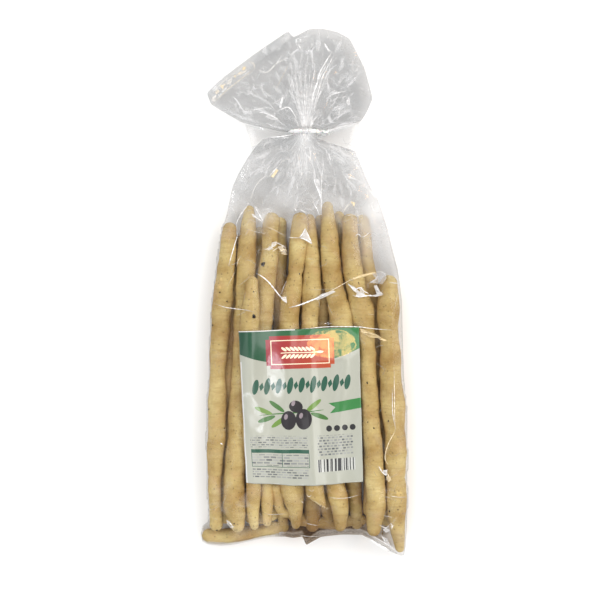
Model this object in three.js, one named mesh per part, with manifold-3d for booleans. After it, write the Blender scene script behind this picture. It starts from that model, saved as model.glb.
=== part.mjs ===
// A clear film bag of hand-rolled breadsticks with a paper label. The bag's neck is tied, its
// gathered top spreads in a fan, and the pack lies on its back.
// Millimetres. +X is the label's right, +Y runs towards the tied neck and +Z comes out of the label.
// The ground is z = 0, and the origin is below the middle of the pack.
import * as THREE from "three";
import { mergeVertices } from "three/addons/utils/BufferGeometryUtils.js";
import Module from "manifold-3d";

const wasm = await Module();
wasm.setup();

// Driving dimensions of the breadsticks
const frontSides = 10; // faces round a stick of the upper layers
const backSides = 8; // faces round a stick of the lower layer
const frontRingPitch = 15; // spacing of the rings along an upper stick
const backRingPitch = 30; // spacing of the rings along a lower stick
const bedding = 0.8; // depth by which the lowest sticks are pressed flat on the ground
const press = 0.95; // share of their radii at which two crossing sticks lie apart
const settleSteps = 60; // stations along a stick at which its height is worked out
const lumpHeight = 0.035; // share of the radius by which a stick swells and narrows
const lumpLength = 38; // length of one swelling
const capRings = [0, 0.14, 0.5]; // rings on a round end, as shares of its radius

// Driving dimensions of the film
const neck = new THREE.Vector3(1, 129, 12); // middle of the tied neck
const filmEdge = 0.8; // half thickness of the folded film at an edge
const pleatCount = 12; // pleats across the fan
const pleatDepth = 2.6; // height of a pleat, up and down
const fanFoot = new THREE.Vector2(1, 132.5); // where the pleats meet, just above the tie
const fanStart = 4; // distance from the foot at which the fan begins
const fanCore = 5.4; // half thickness of the gathered film at the foot
const fanEdge = 1.4; // half thickness of the fan, reached at fanTaper of the way to the rim
const fanTaper = 0.45;
const fanDroop = 3; // how far the rim hangs below the foot
const fanRows = [0, 0.1, 0.24, 0.42, 0.62, 0.82, 1]; // shares of the way to the rim
const fanStep = 5; // widest angle between two points of the fan's rim, in degrees

// Driving dimensions of the label and the tie
const labelThickness = 0.5;
const labelGap = 0.45; // clearance between the label and the highest sticks
const labelCurl = 34; // radius that the paper can bend to, between two sticks
const labelRows = 15;
const labelColumns = 17;
const reliefPitch = 2; // spacing of the grid on which the label's height is worked out
const reliefMargin = 12; // how far that grid goes past the label
const tieRadius = 13; // to the middle of the band, across the neck
const tieFlatten = 0.66; // height of the ring over its width
const tieWidth = 3.4;
const tieThickness = 1.3;
const tailRadius = 1.1;
const tailPoints = [[-0.4, 0, 0], [2.5, 0.9, 1.2], [5, -0.6, 0.6], [7.5, 1.6, -0.5]]; // [out, along, up]

// The breadsticks, lowest layer first. A route runs from the tied end to the bottom end,
// and each of its points is [x, y, radius]. A stick rests on the layers below its own.
const sticks = [
  { name: "backLeft", layer: 0, route: [[-57, 46, 5], [-60, -60, 7.5], [-66, -186, 5.5]] },
  { name: "backUnder", layer: 0, route: [[-37, 52, 5], [-38, -70, 7], [-37, -180, 5.5]] },
  { name: "backInnerLeft", layer: 0, route: [[-19, 60, 5], [-18, 8, 6.5], [-14, -80, 7], [-20, -178, 4]] },
  { name: "backMiddle", layer: 0, route: [[1, 34, 5], [3, -70, 7], [5, -165, 6], [6, -194, 4.5]] },
  { name: "backInnerRight", layer: 0, route: [[14, 62, 4], [15, -30, 7.5], [19, -110, 7.5], [24, -191, 4]] },
  { name: "backRight", layer: 0, route: [[29, 65, 4.5], [34, -20, 7.5], [38, -150, 6.5], [40, -190, 4.5]] },
  { name: "backOuterRight", layer: 0, route: [[47, 62, 5], [50, 16, 7], [57, -100, 7], [58, -187, 5]] },
  { name: "backEdge", layer: 0, route: [[70, -4, 5], [72, -90, 6.5], [70, -194, 5]] },
  { name: "across", layer: 0, route: [[-81, -199.5, 4.8], [-52, -197.5, 5.4], [-24, -192.5, 4]] },
  { name: "bitLow", layer: 0, route: [[-27, -190, 3.8], [-17, -191, 4.2]] },
  { name: "bitUpright", layer: 0, route: [[-15.5, -184, 3.4], [-15.5, -195, 3.4]] },
  { name: "bitCurled", layer: 0, route: [[-23, -164, 3.2], [-21.5, -174, 3.4], [-12, -181, 3.2]] },
  {
    name: "edgeLeft",
    layer: 1,
    route: [[-59.5, 55, 4.5], [-62, 27, 7], [-66, -22, 8.3], [-69.5, -69, 6.6], [-70.5, -110, 7.7],
      [-72, -150, 5.4], [-71.5, -195, 4.5]],
  },
  {
    name: "outerLeft",
    layer: 1,
    route: [[-44, 69, 4], [-45.5, 40, 7.7], [-48, -8, 7.7], [-51.5, -73, 7.7], [-56, -150, 9],
      [-55, -178, 7.5], [-51.5, -195, 4]],
  },
  {
    name: "innerLeft",
    layer: 1,
    route: [[-25.5, 63, 5], [-28.5, 21, 7.7], [-33, -28, 8.1], [-30, -135, 6.5], [-29.5, -192, 3.6]],
  },
  {
    name: "pinched",
    layer: 1,
    route: [[-2, 63, 5], [-4.5, 32, 7.3], [-7, 12, 6.3], [-11.5, -20, 8.9], [-11, -120, 8.9],
      [-8.5, -162, 9], [-7, -193, 3]],
  },
  {
    name: "broken",
    layer: 1,
    route: [[4.5, 62, 4.5], [7, 16, 7.3], [5, -28, 7.3], [7.5, -146, 7.6], [8.5, -169, 6.5]],
  },
  {
    name: "bentRight",
    layer: 1,
    route: [[19.5, 72, 4], [21.5, 41, 8], [24, 7, 8.1], [31, -26, 9.5], [33.5, -56, 8.9],
      [25, -158, 7.7], [27.5, -191, 4]],
  },
  {
    name: "outerRight",
    layer: 1,
    route: [[37.5, 62, 5.5], [38.5, 31, 7.3], [42.5, 4, 8.4], [48, -18, 9.4], [51, -45, 7.3],
      [53, -146, 7.6], [54, -194, 5]],
  },
  {
    name: "edgeRight",
    layer: 1,
    route: [[69.5, 12, 5], [68.5, -12, 9], [69.5, -43, 7.7], [71.5, -81, 9.8], [71, -133, 8.5],
      [72.5, -195, 5.8], [74.5, -211, 3]],
  },
  {
    name: "topLeft",
    layer: 2,
    route: [[-41, 11, 4.5], [-43, -32, 8.1], [-42.5, -97, 7.3], [-40.5, -165, 4.9], [-37.5, -193, 3]],
  },
];

// The film round the sticks and over the shoulders: rows of [y, left, right, underside, top].
const filmRows = [
  [-194, -60, 42, 5, 10],
  [-189, -67, 66, 4, 13],
  [-178, -69, 71, 3.5, 14],
  [-145, -69, 72, 3.5, 14.5],
  [-110, -69, 73, 3.5, 14.5],
  [-75, -68, 73, 3.5, 14.5],
  [-40, -67, 72, 3.5, 14.5],
  [-8, -65, 74, 3.5, 15],
  [8, -63, 77.5, 3.5, 15.5],
  [31, -62, 73, 3.5, 17],
  [50, -62, 68.5, 3, 20],
  [62, -61.5, 65, 2, 22],
  [73, -59.5, 61, 1.5, 23],
  [84, -58, 54.5, 1.5, 22.5],
  [95, -53, 49.5, 2, 21],
  [106, -47.5, 45, 2, 19.5],
  [113, -42, 42, 3, 18.5],
  [118, -24, 26, 4, 18],
  [123, -9, 11, 6, 18],
  [135, -8.5, 10.5, 6, 18],
];
const filmColumns = 18;

// The fan's rim, from its right lower edge over the top to its left lower edge.
const fanRim = [
  [12, 133], [47, 138], [52, 146], [56.5, 157], [49, 181], [37, 204.5], [27, 209], [15, 211.5],
  [4.5, 211], [-8.5, 204.5], [-12.5, 209], [-42, 189], [-66, 171], [-78.5, 159.5], [-75, 151.5],
  [-50, 137], [-10, 133],
];

// Pale folds of film that reach from the shoulders up behind the fan, one on each side.
const foldCorners = [
  [[-41, 110], [-46.5, 136], [-20, 134], [-22, 113]],
  [[24, 113], [23, 134], [46.5, 138], [41, 110]],
];
const foldBottom = 5;
const foldTop = 8.5;

// Slack film past the sticks' ends: a web beside the longest stick, and a small flap.
const slackCorners = [
  [[40, -186], [50, -196], [74, -208.5], [70, -186]],
  [[-2, -189], [0.5, -203], [4, -200], [13, -193]],
];
const slackBottom = 6;
const slackTop = 9;

const labelCorners = {
  topLeft: [-52, -33],
  topRight: [44.5, -30],
  bottomLeft: [-46, -155.5],
  bottomRight: [46, -154],
};
const labelSag = 2.6; // how far the lower edge bows down between its corners

// A closed mesh as a solid: vertices are merged, and faces that have no area are left out.
function solidOf(geometry) {
  const bare = geometry.clone();
  bare.deleteAttribute("normal");
  bare.deleteAttribute("uv");
  const merged = mergeVertices(bare, 1e-4);
  const corners = merged.index.array;
  const faces = [];
  for (let k = 0; k < corners.length; k += 3) {
    const [a, b, c] = [corners[k], corners[k + 1], corners[k + 2]];
    if (a !== b && b !== c && c !== a) faces.push(a, b, c);
  }
  const vertProperties = new Float32Array(merged.attributes.position.array);
  const mesh = new wasm.Mesh({ numProp: 3, vertProperties, triVerts: new Uint32Array(faces) });
  return new wasm.Manifold(mesh);
}

function geometryOf(solid) {
  const mesh = solid.getMesh();
  const geometry = new THREE.BufferGeometry();
  geometry.setAttribute("position", new THREE.BufferAttribute(mesh.vertProperties, 3));
  geometry.setIndex(new THREE.BufferAttribute(mesh.triVerts, 1));
  geometry.computeVertexNormals();
  return geometry;
}

// A closed sheet over a grid. pointAt(row, column, side) gives a point of its upper face,
// with side 1, or of its lower face, with side -1. Rows run along +Y and columns along +X.
function sheet(rows, columns, pointAt) {
  const corners = [];
  for (const side of [1, -1]) {
    for (let row = 0; row < rows; row += 1) {
      for (let column = 0; column < columns; column += 1) corners.push(...pointAt(row, column, side));
    }
  }
  const at = (row, column, side) => row * columns + column + (side < 0 ? rows * columns : 0);
  const faces = [];
  const quad = (a, b, c, d) => faces.push(a, b, c, a, c, d);
  for (let row = 0; row + 1 < rows; row += 1) {
    for (let column = 0; column + 1 < columns; column += 1) {
      const next = column + 1;
      quad(at(row, column, 1), at(row, next, 1), at(row + 1, next, 1), at(row + 1, column, 1));
      quad(at(row, column, -1), at(row + 1, column, -1), at(row + 1, next, -1), at(row, next, -1));
    }
    const last = columns - 1;
    quad(at(row, 0, -1), at(row, 0, 1), at(row + 1, 0, 1), at(row + 1, 0, -1));
    quad(at(row, last, 1), at(row, last, -1), at(row + 1, last, -1), at(row + 1, last, 1));
  }
  for (let column = 0; column + 1 < columns; column += 1) {
    const last = rows - 1;
    quad(at(0, column, -1), at(0, column + 1, -1), at(0, column + 1, 1), at(0, column, 1));
    quad(at(last, column, 1), at(last, column + 1, 1), at(last, column + 1, -1), at(last, column, -1));
  }
  const geometry = new THREE.BufferGeometry();
  geometry.setAttribute("position", new THREE.Float32BufferAttribute(corners, 3));
  geometry.setIndex(faces);
  return geometry;
}

// A flat plate with four corners, given in turn.
function plate(corners, bottom, top) {
  const outline = new THREE.Shape(corners.map(([x, y]) => new THREE.Vector2(x, y)));
  const geometry = new THREE.ExtrudeGeometry(outline, { depth: top - bottom, bevelEnabled: false });
  return geometry.translate(0, 0, bottom);
}

// The middle line and radius of a stick at a share of its length, from its route.
function traceStick(stick, index) {
  const points = stick.route.map(([x, y, radius]) => new THREE.Vector3(x, y, radius));
  const curve = new THREE.CatmullRomCurve3(points, false, "centripetal");
  const length = curve.getLength();
  const lump = (share) => Math.sin((share * length * 2 * Math.PI) / lumpLength + index * 1.7);
  const at = (share) => {
    const point = curve.getPointAt(THREE.MathUtils.clamp(share, 0, 1));
    return { x: point.x, y: point.y, radius: point.z * (1 + lumpHeight * lump(share)) };
  };
  return { ...stick, length, at };
}

// The straight line that fits a row of heights best: stiff sticks don't follow every lump below.
function stiffLine(heights) {
  const touching = heights.flatMap((height, step) => (height > 0 ? [{ step, height }] : []));
  const mean = (pick) => touching.reduce((sum, one) => sum + pick(one), 0) / touching.length;
  const [middle, level] = [mean((one) => one.step), mean((one) => one.height)];
  const spread = mean((one) => (one.step - middle) ** 2);
  const slope = mean((one) => (one.step - middle) * (one.height - level)) / spread;
  return heights.map((_, step) => level + slope * (step - middle));
}

// Lays the sticks one layer after another and gives each its height at every station.
function settle(traced) {
  const laid = [];
  for (const stick of traced) {
    const stations = [];
    for (let step = 0; step <= settleSteps; step += 1) stations.push(stick.at(step / settleSteps));
    const below = laid.filter((other) => other.layer < stick.layer);
    const resting = stations.map((here) => {
      let height = 0;
      for (const other of below) {
        other.stations.forEach((there, step) => {
          const reach = press * (here.radius + there.radius);
          const apart = Math.hypot(here.x - there.x, here.y - there.y);
          if (apart >= reach) return;
          height = Math.max(height, other.heights[step] + Math.sqrt(reach * reach - apart * apart));
        });
      }
      return height;
    });
    const onGround = stations.map((here) => here.radius - bedding);
    laid.push({ ...stick, stations, heights: stick.layer === 0 ? onGround : stiffLine(resting) });
  }
  return laid;
}

const heightAt = (stick, share) => {
  const place = Math.min(share * settleSteps, settleSteps - 1e-6);
  const step = Math.floor(place);
  return THREE.MathUtils.lerp(stick.heights[step], stick.heights[step + 1], place - step);
};

// A stick: a straight turned form with round ends, bent along its route.
function stickSolid(stick) {
  const front = stick.layer > 0;
  const rounding = stick.at(0).radius;
  const ringPitch = front ? frontRingPitch : backRingPitch;
  const rings = Math.max(1, Math.round((stick.length - 2 * rounding) / ringPitch));
  const stations = capRings.map((share) => share * rounding);
  for (let ring = 0; ring <= rings; ring += 1) {
    stations.push(rounding + ((stick.length - 2 * rounding) * ring) / rings);
  }
  stations.push(...capRings.map((share) => stick.length - share * rounding).reverse());
  const profile = stations.map((station) => {
    const toEnd = Math.min(station, stick.length - station);
    const cap = toEnd < rounding ? Math.sqrt(1 - (1 - toEnd / rounding) ** 2) : 1;
    return new THREE.Vector2(stick.at(station / stick.length).radius * cap, station);
  });
  const geometry = new THREE.LatheGeometry(profile, front ? frontSides : backSides);
  const position = geometry.attributes.position;
  for (let k = 0; k < position.count; k += 1) {
    const share = position.getY(k) / stick.length;
    const here = stick.at(share);
    const ahead = stick.at(Math.min(1, share + 0.01));
    const behind = stick.at(Math.max(0, share - 0.01));
    const across = new THREE.Vector2(ahead.y - behind.y, behind.x - ahead.x).normalize();
    position.setXYZ(
      k,
      here.x + across.x * position.getX(k),
      here.y + across.y * position.getX(k),
      heightAt(stick, share) + position.getZ(k),
    );
  }
  return solidOf(geometry);
}

// The film's body: full and flat over the sticks, and drawn in over the shoulders to the neck.
function filmSolid() {
  const pointAt = (row, column, side) => {
    const [y, left, right, underside, top] = filmRows[row];
    const across = -Math.cos((Math.PI * column) / (filmColumns - 1));
    const fullness = Math.sqrt(1 - across ** 4);
    const middle = (underside + top) / 2;
    const half = Math.max(filmEdge, ((top - underside) / 2) * fullness);
    return [THREE.MathUtils.lerp(left, right, (across + 1) / 2), y, middle + side * half];
  };
  return solidOf(sheet(filmRows.length, filmColumns, pointAt));
}

// The fan: pleats that run from the neck to the rim, deepest halfway out.
function fanSolid() {
  const polar = fanRim.map(([x, y]) => ({
    angle: Math.atan2(y - fanFoot.y, x - fanFoot.x),
    reach: Math.hypot(x - fanFoot.x, y - fanFoot.y),
  }));
  const spokes = [];
  for (let k = 0; k + 1 < polar.length; k += 1) {
    const [from, to] = [polar[k], polar[k + 1]];
    const pieces = Math.max(1, Math.ceil(THREE.MathUtils.radToDeg(to.angle - from.angle) / fanStep));
    for (let piece = 0; piece < pieces; piece += 1) {
      const share = piece / pieces;
      spokes.push({
        angle: THREE.MathUtils.lerp(from.angle, to.angle, share),
        reach: THREE.MathUtils.lerp(from.reach, to.reach, share),
      });
    }
  }
  spokes.push(polar[polar.length - 1]);
  spokes.reverse();
  const pointAt = (row, column, side) => {
    const share = fanRows[row];
    const { angle, reach } = spokes[column];
    const distance = THREE.MathUtils.lerp(fanStart, reach, share);
    const half = THREE.MathUtils.lerp(fanCore, fanEdge, Math.min(1, share / fanTaper));
    const swell = Math.sin(0.8 * Math.PI * Math.sqrt(share));
    const pleat = pleatDepth * swell * Math.sin(2 * pleatCount * angle);
    return [
      fanFoot.x + distance * Math.cos(angle),
      fanFoot.y + distance * Math.sin(angle),
      neck.z - fanDroop * share + pleat + side * half,
    ];
  };
  return solidOf(sheet(fanRows.length, spokes.length, pointAt));
}

// The label's height: it lies on the highest sticks and bends no tighter than paper does.
// A grid holds the sticks' height. A round bow of the paper's bend is swept over it, and back.
function labelHeights(laid) {
  const corners = Object.values(labelCorners);
  const left = Math.min(...corners.map(([x]) => x)) - reliefMargin;
  const low = Math.min(...corners.map(([, y]) => y)) - reliefMargin;
  const columns = Math.ceil((Math.max(...corners.map(([x]) => x)) + reliefMargin - left) / reliefPitch);
  const rows = Math.ceil((Math.max(...corners.map(([, y]) => y)) + reliefMargin - low) / reliefPitch);
  const relief = new Float32Array(rows * columns);
  for (const stick of laid) {
    for (let along = 0; along <= stick.length; along += reliefPitch / 2) {
      const here = stick.at(along / stick.length);
      const row = Math.round((here.y - low) / reliefPitch);
      if (row < 0 || row >= rows) continue;
      for (let column = 0; column < columns; column += 1) {
        const apart = Math.abs(left + column * reliefPitch - here.x);
        if (apart >= here.radius) continue;
        const top = heightAt(stick, along / stick.length) + Math.sqrt(here.radius ** 2 - apart ** 2);
        const cell = row * columns + column;
        relief[cell] = Math.max(relief[cell], top);
      }
    }
  }
  const sweep = (field, pick, sign) => field.map((height, cell) => {
    const column = cell % columns;
    let best = height;
    for (let other = 0; other < columns; other += 1) {
      const bow = ((other - column) * reliefPitch) ** 2 / (2 * labelCurl);
      best = pick(best, field[cell - column + other] + sign * bow);
    }
    return best;
  });
  const bridged = sweep(sweep(relief, Math.max, -1), Math.min, 1);
  return (x, y) => {
    const column = Math.round((x - left) / reliefPitch);
    const row = Math.round((y - low) / reliefPitch);
    return Math.max(...[-2, -1, 0, 1, 2].map((step) => bridged[(row + step) * columns + column]));
  };
}

function labelSolid(laid) {
  const under = labelHeights(laid);
  const { lerp } = THREE.MathUtils;
  const pointAt = (row, column, side) => {
    const up = row / (labelRows - 1);
    const across = column / (labelColumns - 1);
    const { topLeft, topRight, bottomLeft, bottomRight } = labelCorners;
    const between = (axis) => {
      const low = lerp(bottomLeft[axis], bottomRight[axis], across);
      return lerp(low, lerp(topLeft[axis], topRight[axis], across), up);
    };
    const x = between(0);
    const y = between(1) - labelSag * (1 - up) * Math.sin(Math.PI * across);
    const lowest = under(x, y) + labelGap;
    return [x, y, side > 0 ? lowest + labelThickness : lowest];
  };
  return solidOf(sheet(labelRows, labelColumns, pointAt));
}

// The tie: a flat band round the neck whose two ends are twisted together on its right.
function tieSolid() {
  const [inner, outer] = [tieRadius - tieThickness / 2, tieRadius + tieThickness / 2];
  const half = tieWidth / 2;
  const corners = [[inner, -half], [outer, -half], [outer, half], [inner, half], [inner, -half]];
  const profile = corners.map(([radius, along]) => new THREE.Vector2(radius, along));
  const ring = new THREE.LatheGeometry(profile, 28);
  ring.scale(1, 1, tieFlatten);
  ring.translate(neck.x, neck.y, neck.z);
  const section = new THREE.Shape();
  section.absarc(0, 0, tailRadius, 0, 2 * Math.PI);
  const tails = [1, -1].map((turn) => {
    const route = tailPoints.map(([out, along, up]) => (
      new THREE.Vector3(neck.x + tieRadius + out, neck.y + turn * along, neck.z + turn * up)
    ));
    const extrudePath = new THREE.CatmullRomCurve3(route);
    const shape = { steps: 10, curveSegments: 3, bevelEnabled: false, extrudePath };
    return new THREE.ExtrudeGeometry(section, shape);
  });
  return [ring, ...tails].map(solidOf).reduce((all, one) => all.add(one));
}

// Everything below the ground is cut away, which leaves a flat strip under each lowest stick.
function groundSolid() {
  const [width, length, depth] = [300, 600, 40];
  return solidOf(new THREE.BoxGeometry(width, length, depth).translate(0, 0, -depth / 2));
}

function named(name, solid, color, roughness) {
  const material = new THREE.MeshStandardMaterial({ color, roughness, metalness: 0 });
  const mesh = new THREE.Mesh(geometryOf(solid), material);
  mesh.name = name;
  return mesh;
}

const laid = settle(sticks.map(traceStick));
const plates = [
  ...foldCorners.map((corners) => plate(corners, foldBottom, foldTop)),
  ...slackCorners.map((corners) => plate(corners, slackBottom, slackTop)),
];
const pieces = [...laid.map(stickSolid), filmSolid(), fanSolid(), ...plates.map(solidOf)];
const bag = pieces.reduce((all, one) => all.add(one)).subtract(groundSolid());

const pack = new THREE.Group();
pack.add(named("bag", bag, 0xc3ab76, 0.6));
pack.add(named("label", labelSolid(laid), 0xd4d5cd, 0.4));
pack.add(named("neck_tie", tieSolid(), 0xf2f2f0, 0.5));
export default pack;
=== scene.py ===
# A clear film bag of hand-rolled breadsticks with a paper label. It lies on its back, and its
# tied neck spreads in a fan. +X is the label's right, +Y runs to the neck, +Z comes out of the
# label, and the ground is z = 0. Tables and arrays are in millimetres, meshes in metres.
import math
from functools import partial

import bmesh
import bpy
import numpy as np
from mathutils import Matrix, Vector
from mathutils.bvhtree import BVHTree


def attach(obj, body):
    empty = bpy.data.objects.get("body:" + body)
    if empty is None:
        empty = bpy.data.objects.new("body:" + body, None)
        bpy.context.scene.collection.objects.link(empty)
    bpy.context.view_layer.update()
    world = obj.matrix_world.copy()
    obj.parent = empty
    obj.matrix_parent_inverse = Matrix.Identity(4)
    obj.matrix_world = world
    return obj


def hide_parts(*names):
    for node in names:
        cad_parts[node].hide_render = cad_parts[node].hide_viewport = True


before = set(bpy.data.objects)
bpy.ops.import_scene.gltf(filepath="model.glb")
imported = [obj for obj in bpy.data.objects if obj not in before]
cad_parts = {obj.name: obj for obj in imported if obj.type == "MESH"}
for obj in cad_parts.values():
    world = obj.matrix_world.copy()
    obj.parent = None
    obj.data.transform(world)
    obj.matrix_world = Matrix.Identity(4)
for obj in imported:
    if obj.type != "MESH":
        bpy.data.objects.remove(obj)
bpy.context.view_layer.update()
mm = 0.001


def toLinear(hexColour):
    parts = [int(hexColour[k:k + 2], 16) / 255 for k in (1, 3, 5)]
    return (*[c / 12.92 if c <= 0.04045 else ((c + 0.055) / 1.055) ** 2.4 for c in parts], 1.0)


def addNode(tree, kind, values=None):  # values are settings, and a node or a socket among them is a link
    node = tree.nodes.new(kind if "Node" in kind else tree.bl_idname[:-4] + kind)  # ShaderNode, GeometryNode
    for name, value in (values or {}).items():
        if isinstance(value, bpy.types.Node):
            value = next(output for output in value.outputs if output.enabled)
        if isinstance(value, bpy.types.NodeSocket):
            tree.links.new(value, node.inputs[name])
        elif isinstance(name, str) and hasattr(node, name):
            setattr(node, name, value)
        else:
            node.inputs[name].default_value = value
    return node


def newMaterial(name, dress):  # dress adds the nodes and gives back the last shader
    material = bpy.data.materials.new(name)
    material.use_nodes = True
    material.node_tree.nodes.clear()
    add = partial(addNode, material.node_tree)
    add("OutputMaterial", {"Surface": dress(add)})
    return material


def waveField(points, wavelength, seed, count=14):  # smooth and random, about -1 to 1
    draw = np.random.default_rng(seed)
    directions = draw.normal(size=(count, points.shape[-1]))
    directions /= np.linalg.norm(directions, axis=1)[:, None]
    lengths = wavelength * draw.uniform(0.7, 1.5, count)
    phases = draw.uniform(0, 2 * math.pi, count)
    total = sum(np.sin(points @ (direction * 2 * math.pi / length) + phase)
                for direction, length, phase in zip(directions, lengths, phases))
    return total / math.sqrt(count)


def foldField(points, wavelength, seed, count=5):  # flat facets that meet in creases, -1 to 1
    draw = np.random.default_rng(seed)
    total = 0
    for angle in draw.uniform(0, math.pi, count):
        length = wavelength * draw.uniform(0.6, 1.6)
        phase = points @ np.array([math.cos(angle), math.sin(angle)]) / length
        phase = phase + 0.22 * waveField(points, 3 * wavelength, int(draw.integers(1e6)), 6)
        total = total + (4 * np.abs((phase + draw.uniform()) % 1 - 0.5) - 1) * length / wavelength
    return total / count


def smoothStep(values, low, high):
    share = np.clip((values - low) / (high - low), 0, 1)
    return share * share * (3 - 2 * share)


def newMesh(name, points, edges, faces):
    mesh = bpy.data.meshes.new(name)
    mesh.from_pydata((np.asarray(points) * mm).tolist(), edges, [list(map(int, face)) for face in faces])
    return mesh


def addPiece(name, mesh):
    piece = bpy.data.objects.new(name, mesh)
    bpy.context.scene.collection.objects.link(piece)
    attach(piece, "root")
    return piece


def meshPiece(name, points, faces, material, smooth=True):
    mesh = newMesh(name, points, [], faces)
    mesh.polygons.foreach_set("use_smooth", [smooth] * len(mesh.polygons))
    mesh.materials.append(material)
    mesh.update()
    return addPiece(name, mesh)


def setAttributes(mesh, layers):  # by name, one number or one vector for each point
    for name, values in layers.items():
        values = np.asarray(values, np.float32)
        kind, entry = ("FLOAT", "value") if values.ndim == 1 else ("FLOAT_VECTOR", "vector")
        mesh.attributes.new(name, kind, "POINT").data.foreach_set(entry, values.ravel())


def quads(index):  # faces over a grid of point numbers, rows along +Y and columns along +X
    corners = index[:-1, :-1], index[:-1, 1:], index[1:, 1:], index[1:, :-1]
    return np.stack(corners, -1).reshape(-1, 4)


def tubeFaces(count, sides, closed=False):  # over rings of points, one after the other
    grid = np.arange(count * sides).reshape(count, sides)
    grid = np.hstack([grid, grid[:, :1]])
    return grid, quads(np.vstack([grid, grid[:1]]) if closed else grid).tolist()


def envelope(top, bottom):  # two sheets over the same grid, joined along their border
    rows, columns = top.shape[:2]
    upper = np.arange(rows * columns).reshape(rows, columns)
    lower = upper.copy()
    lower[1:-1, 1:-1] = rows * columns + np.arange((rows - 2) * (columns - 2)).reshape(rows - 2, -1)
    points = np.vstack([top.reshape(-1, 3), bottom[1:-1, 1:-1].reshape(-1, 3)])
    return points, np.vstack([quads(upper), quads(lower)[:, ::-1]])


view = {
    "over": (-6.5, -4.5),  # point below the camera
    "wide": 478.7,  # millimetres across the picture at the height of the front sticks
    "level": 20,
    "lens": 70,
    "sensor": 36,
}


def addCamera():
    data = bpy.data.cameras.new("camera")
    data.lens, data.sensor_width = view["lens"], view["sensor"]
    data.clip_start, data.clip_end = 0.01, 20
    camera = bpy.data.objects.new("camera", data)
    height = view["wide"] * view["lens"] / view["sensor"] + view["level"]
    camera.location = (view["over"][0] * mm, view["over"][1] * mm, height * mm)
    bpy.context.scene.collection.objects.link(camera)
    bpy.context.scene.camera = camera


studio = {
    "floor": "#FBFBFA",
    "floorHalf": 4000,
    "sky": "#FFFFFF",
    "skyPower": 0.31,
    "boxDistance": 1.5,
    "boxes": [  # direction round the pack, angle from overhead, side (m), colour, power (W)
        (125, 46, 1.6, "#FFFFFF", 9.0),
        (215, 47, 1.6, "#FFFFFF", 6.0),
        (28, 46, 1.6, "#FFFFFF", 18.5),
        (290, 47, 1.6, "#FFFFFF", 8.0),
        (128, 50, 0.24, "#FFFFFF", 2.4),  # small lamps that sparkle in the film's creases
        (30, 46, 0.17, "#FFBC68", 1.75),
        (250, 44, 0.22, "#F2F4FF", 1.7),
    ],
}


def mattPaint(add):  # matt white paint on a board: no shine, and it hardly tints what stands on it
    return add("BsdfPrincipled", {"Base Color": toLinear(studio["floor"]), "Roughness": 0.9,
                                  "Specular IOR Level": 0.2})


def addStudio():
    scene = bpy.context.scene
    scene.view_settings.view_transform = "Standard"
    world = bpy.data.worlds.new("studio")
    world.use_nodes = True
    world.node_tree.nodes["Background"].inputs["Color"].default_value = toLinear(studio["sky"])
    world.node_tree.nodes["Background"].inputs["Strength"].default_value = studio["skyPower"]
    scene.world = world
    reach = studio["boxDistance"]
    for k, (turn, tilt, side, colour, power) in enumerate(studio["boxes"]):
        data = bpy.data.lights.new(f"softbox_{k}", "AREA")
        data.shape, data.size = "SQUARE", side
        data.energy, data.color = power, toLinear(colour)[:3]
        lamp = bpy.data.objects.new(f"softbox_{k}", data)
        turn, tilt = math.radians(turn), math.radians(tilt)
        lamp.location = (reach * math.sin(tilt) * math.cos(turn),
                         reach * math.sin(tilt) * math.sin(turn), reach * math.cos(tilt))
        lamp.rotation_euler = (0, tilt, turn)
        scene.collection.objects.link(lamp)
    half = studio["floorHalf"]
    corners = [(-half, -half, 0), (half, -half, 0), (half, half, 0), (-half, half, 0)]
    mesh = newMesh("floor", corners, [], [[0, 1, 2, 3]])
    mesh.materials.append(newMaterial("painted_board", mattPaint))
    floor = bpy.data.objects.new("floor", mesh)
    scene.collection.objects.link(floor)


addCamera()
addStudio()
print("camera, lights and floor are in place")


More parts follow.
